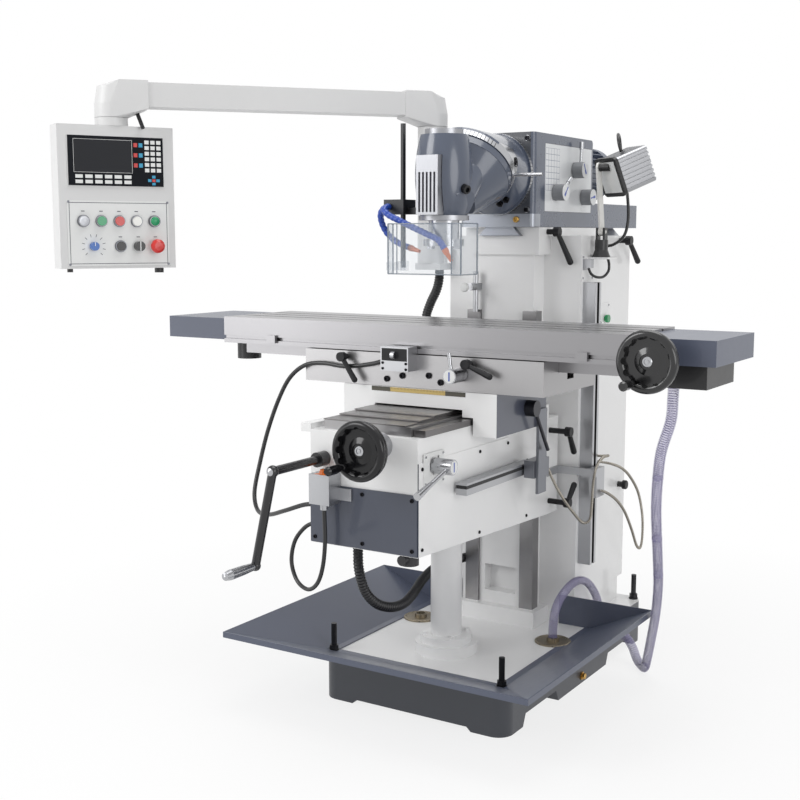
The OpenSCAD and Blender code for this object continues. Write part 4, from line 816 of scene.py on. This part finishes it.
# Coolant: segmented hoses over the plain ones, with orange nozzles
coolantSet = {"pitch": .0135, "low": .0072, "high": .0089, "step": .0011, "sides": 20}
nozzleProfile = [(.0003, -.004), (.0085, -.004), (.009, .004), (.0068, .012), (.0052, .026), (.0046, .034),
                 (.0026, .034), (.0026, .02)]
hoseRoutes = {
    "hoseLeft": [
        (-.1683, -.326, 1.378), (-.182, -.326, 1.376), (-.2, -.318, 1.36), (-.206, -.302, 1.334),
        (-.196, -.29, 1.306), (-.174, -.285, 1.286), (-.146, -.287, 1.274), (-.118, -.292, 1.266)],
    "hoseRight": [
        (-.15, -.3523, 1.378), (-.15, -.366, 1.377), (-.146, -.384, 1.368), (-.126, -.39, 1.354),
        (-.092, -.392, 1.34), (-.05, -.392, 1.322), (-.008, -.389, 1.304), (.026, -.386, 1.288),
        (.044, -.382, 1.262)],
}
for name, route in hoseRoutes.items():
    line = smoothRoute(route, coolantSet["step"])[0]
    t = np.arange(len(line)) * coolantSet["step"] / coolantSet["pitch"] % 1.0
    # radius swells over each ball joint and drops at its rim: low + (high - low) sqrt(sin(pi t))
    radius = coolantSet["low"] + (coolantSet["high"] - coolantSet["low"]) * np.sqrt(np.sin(math.pi * t))
    verts, faces = sweep(line, radius, coolantSet["sides"])[:2]
    piece(name, verts, faces, blue, "head")
    lathe(name + "Nozzle", nozzleProfile, line[-1], line[-1] - line[-6], orange, "head", 24)

# Guard: polished edges and folds of the clear sheet
guardSpan = (1.1985, 1.3315)
corner = {
    "left": (-.116, -.387), "frontLeft": (-.116, -.411), "fold": (-.088, -.4115),
    "foldRight": (.08, -.4115), "frontRight": (.108, -.411), "right": (.108, -.323),
}
names = list(corner)
rims = [((*corner[a], z), (*corner[b], z), guardSet["edge"])
        for a, b in zip(names[:-1], names[1:]) for z in guardSpan]
uprights = [((*corner[k], guardSpan[0]), (*corner[k], guardSpan[1]),
             guardSet["edge"] * (1.0 if "fold" in k else guardSet["corner"])) for k in names]
rods("guardRim", rims + uprights, guardEdge, "chip_guard", 10)

# Turned fittings: profile as radius and height, foot, axis, finish, body and number of sides
nutProfile = [(.0105, -.002), (.0105, .0065), (.0095, .0075), (.0058, .0075), (.0058, .0105), (.0003, .011)]
faceProfile = [(.0165, 0), (.0165, .0008), (.0003, .001)]
turned = {
    "headPlug": (
        [(.0125, -.006), (.0125, .011), (.0112, .0128), (.0068, .0128), (.0066, .006), (.0003, .006)],
        (.0745, -.334, 1.423), (.9, -.31, -.31), gloss, "head", 32),
    "carrierPocket": (
        [(.0135, -.004), (.0135, .0006), (.0122, .0009), (.0115, -.0008), (.0085, -.0008), (.0085, .0016),
         (.0075, .0024), (.0042, .0024), (.004, 0), (.0003, 0)],
        (.1216, -.1294, 1.5008), (.992, .108, .065), dark, "carrier", 32),
    "carrierNut_0": (nutProfile, (.0628, -.0726, 1.4026), (.151, -.634, -.758), dark, "carrier", 6),
    "carrierNut_1": (nutProfile, (.0396, -.0645, 1.392), (.047, -.699, -.714), dark, "carrier", 6),
    "ramPlug": (
        [(.009, 0), (.009, .004), (.0075, .0055), (.0045, .0055), (.0043, .002), (.0003, .002)],
        (.0652, -.0121, 1.346), (0, -1, 0), brass, "ram", 28),
    "switchRoller": (
        [(.0003, -.006), (.0085, -.006), (.0095, -.005), (.0095, .005), (.0085, .006), (.0003, .006)],
        (-.045, -.4985, .989), (1, 0, 0), bright, "bed", 32),
    "feed_leverFace": (faceProfile, (.2191, -.637, .738), (1, 0, 0), white, "feed_lever", 32),
    "feed_dialFace": (faceProfile, (.133, -.5121, .944), (0, -1, 0), white, "feed_dial", 32),
    "drainPlug": (
        [(.0125, 0), (.0125, .004), (.0088, .004), (.0088, .012), (.0075, .013), (.0003, .013)],
        (.2911, 0, .023), (1, 0, 0), brass, "base", 6),
    "tapHandle": (
        [(.0003, 0), (.012, 0), (.0135, .003), (.0135, .01), (.011, .0135), (.0003, .0145)],
        (-.08, -.047, 1.15), (0, -1, 0), white, "base", 28),
    "columnKnob": (
        [(.0003, 0), (.0125, 0), (.0145, .002), (.0145, .012), (.0125, .0145), (.0003, .0148)],
        (.2335, .429, .512), (1, 0, 0), matt, "base", 28),
    "lampScrew": (
        [(.0003, -.146), (.0085, -.146), (.0095, -.143), (.0095, -.134), (.0075, -.13), (.0075, -.118)],
        lampCentre, lampAxis, dark, "lamp_head", 24),
}
for name, (profile, foot, axis, mat, body, seg) in turned.items():
    lathe(name, profile, foot, axis, mat, body, seg)

# Screws and bolts: places, axis, head radius, body and finish
boltAngles = np.radians([35, 80, 125, 170])
screwSet = {
    "flangeBolt": (
        [(x, -.019, z) for x in (-.1, .1) for z in (1.373, 1.574)],
        (0, -1, 0), .0068, "ram", dark),
    "carrierBolt": (
        [(.1 * math.sin(a), -.0363, ramFoot[2] + .1 * math.cos(a)) for a in boltAngles],
        (0, -1, 0), .006, "carrier", dark),
    "frontScrew": (
        [(x, -.7131, z) for x in (-.146, 0, .146) for z in (.534, .66)],
        (0, -1, 0), .0052, "knee", dark),
    "sideScrew": (
        [(.1631, y, z) for y, z in ((-.694, .536), (-.694, .737), (-.4, .737), (-.24, .737), (-.12, .67),
                                    (-.12, .51), (-.4, .52))],
        (1, 0, 0), .0046, "knee", dark),
    "bedBolt": (
        [(x, -.4481, z) for x, z in ((-.096, .919), (-.047, .93), (.035, .935), (.071, .919))],
        (0, -1, 0), .0085, "bed", dark),
    "switchScrew": (
        [(x, -.4931, z) for x in (-.081, -.009) for z in (.952, .967)],
        (0, -1, 0), .0036, "bed", dark),
    "feedScrew": (
        [(.1646, y, z) for y in (-.68, -.596) for z in (.697, .765)],
        (1, 0, 0), .0034, "knee", bright),
    "coverScrew": (
        [(.2211, y, z) for y, z in ((.112, 1.177), (.112, 1.238), (.18, 1.177), (.18, 1.238), (.252, 1.04),
                                    (.31, 1.04), (.31, 1.09))],
        (1, 0, 0), .0034, "base", bright),
}
for name, (places, axis, r, body, mat) in screwSet.items():
    screws(name, places, axis, r, body, mat)

# Knee, saddle and bed: brass angle scale, mouth of the switch, plate of the feed lever, pointers
scaleMat = steel("scaleBrass", rgb(168, 148, 98), 0.38, zones=[
    (lambda f: (abs(f.x) > .085), rgb(84, 82, 76), 0.45, 1.0),
    (lambda f: (f.z > .8915) * f.stripes(f.x, .0045, .0009), tint["black"], 0.5, 0.0)])
plateX = (.163, .1645)
plateBars = [(-.688, -.66, .69, .772), (-.614, -.588, .69, .772),
             (-.66, -.614, .69, .715), (-.66, -.614, .761, .772)]
# each block: lowest and highest corners, finish, body and edge
blocks = {
    "angleScale": ([((-.145, -.4492, .885), (.145, -.448, .897))], scaleMat, "saddle", .0003),
    "switchMouth": ([((-.084, -.4938, .973), (-.006, -.493, 1.006))], matt, "bed", .0004),
    "feedPlate": (
        [((plateX[0], y0, z0), (plateX[1], y1, z1)) for y0, y1, z0, z1 in plateBars], white, "knee", 0.0),
    "feedPointer": ([((.2199, -.6388, .7265), (.2207, -.6352, .7505))], blue, "feed_lever", 0.0),
    "dialPointer": ([((.1313, -.5137, .9325), (.1347, -.5129, .9555))], blue, "feed_dial", 0.0),
}
for name, (corners, mat, body, edge) in blocks.items():
    boxes(name, corners, mat, body, edge)

# Base: pierced strainers around the hose ends; arm: clamp lever below the elbow
strainerProfile = [(.0525, .1331), (.0525, .1365), (.05, .138), (.046, .138), (.044, .1366), (.019, .1366),
                   (.0185, .147), (.0145, .147), (.0145, .1366)]
holeSet = {"step": .008, "width": .0034, "above": .1335}


def strainerHoles(f):
    rows = [f.stripes(s, holeSet["step"], holeSet["width"]) for s in (f.x, f.y)]
    return rows[0] * rows[1] * (f.z > holeSet["above"])


meshMat = steel("strainerSteel", rgb(150, 140, 122), 0.4, zones=[(strainerHoles, tint["black"], 0.6, 0.0)])
for name, x, y in (("strainerRight", .227, -.064), ("strainerLeft", -.215, -.073)):
    lathe(name, strainerProfile, (x, y, 0), (0, 0, 1), meshMat, "base", 56, True)
rods("armClamp", [((-.8445, -.632, 1.641), (-.818, -.615, 1.641), .006),
                  ((-.822, -.6175, 1.644), (-.8, -.617, 1.598), .0055)], matt, "arm")

# Lamp: lens in its frame
lampUp = np.cross(lampAxis, (lampAxis[1], -lampAxis[0], 0))
lampUp /= np.linalg.norm(lampUp)
lampFrame = (lampCentre, np.array([np.cross(lampUp, lampAxis), lampUp, lampAxis]))
boxes("lampLens", [((-.046, -.046, -.0041), (.046, .046, -.0022))], white, "lamp_head", .0008, lampFrame)
print("trim set")


# Studio: pale floor, white background, soft lights
studioSet = {
    "world": 0.5, "floor": rgb(246, 246, 246), "rough": 0.8, "near": 0.8, "fadeFrom": .7, "fadeTo": 1.9,
    "reach": 30.0,
}
lightSet = {
    "key": {"place": (-2.2, -3.6, 3.0), "target": (0, -.2, .9), "size": 2.2, "power": 64.0},
    "strip": {"place": (-2.9, -3.4, 1.15), "target": (-.3, -.4, 1.0), "size": 1.7, "power": 16.0},
    "fill": {"place": (3.8, -1.6, 1.8), "target": (0, 0, .9), "size": 2.4, "power": 36.0},
    "top": {"place": (.2, 0, 4.2), "target": (0, 0, 1), "size": 2.6, "power": 52.0},
}


def plainRay(tree):
    # true for rays that show the background itself: seen, mirrored or passed through
    path = Sock(tree, None).node("ShaderNodeLightPath", "Is Camera Ray")
    others = [Sock(tree, path.out.node.outputs[k]) for k in ("Is Glossy Ray", "Is Transmission Ray")]
    return path.maths("MAXIMUM", path.maths("MAXIMUM", path, others[0]), others[1])


world = bpy.data.worlds.new("studio")
bpy.context.scene.world = world
world.use_nodes = True
tree = world.node_tree
back = tree.nodes["Background"]
feed(back.inputs["Color"], (1, 1, 1, 1))
feed(back.inputs["Strength"], studioSet["world"] + plainRay(tree) * (1.0 - studioSet["world"]))

floorFinish = Finish("floor", studioSet["floor"], studioSet["rough"])
floorMat = floorFinish.done()
tree = floorMat.node_tree
# the floor's own shading fades into plain white away from the base
far = floorFinish.around((0, 0, 0), (0, 0, 1))[0]
fade = far.node("ShaderNodeMapRange", 0, None, {
    "Value": far, "From Min": studioSet["fadeFrom"], "From Max": studioSet["fadeTo"],
    "To Min": studioSet["near"], "To Max": 1.0})
glow = far.node("ShaderNodeEmission", 0, None, {"Strength": 1.0})
shaded = Sock(tree, floorFinish.bsdf.outputs[0])
mixed = far.node("ShaderNodeMixShader", 0, None, {"Fac": plainRay(tree) * fade, 1: shaded, 2: glow})
feed(tree.nodes["Material Output"].inputs["Surface"], mixed)
reach = studioSet["reach"]
floorCorners = [(-reach, -reach, 0), (reach, -reach, 0), (reach, reach, 0), (-reach, reach, 0)]
floor = piece("floor", floorCorners, [[0, 1, 2, 3]], floorMat, None, False)

for name, light in lightSet.items():
    data = bpy.data.lights.new(name, "AREA")
    data.shape, data.size, data.energy = "DISK", light["size"], light["power"]
    ob = bpy.data.objects.new(name, data)
    bpy.context.scene.collection.objects.link(ob)
    ob.location = light["place"]
    ob.rotation_mode = "QUATERNION"
    aim = Vector(light["target"]) - Vector(light["place"])
    ob.rotation_quaternion = aim.to_track_quat("-Z", "Y")
bpy.context.scene.view_settings.view_transform = "Standard"
print("studio set")
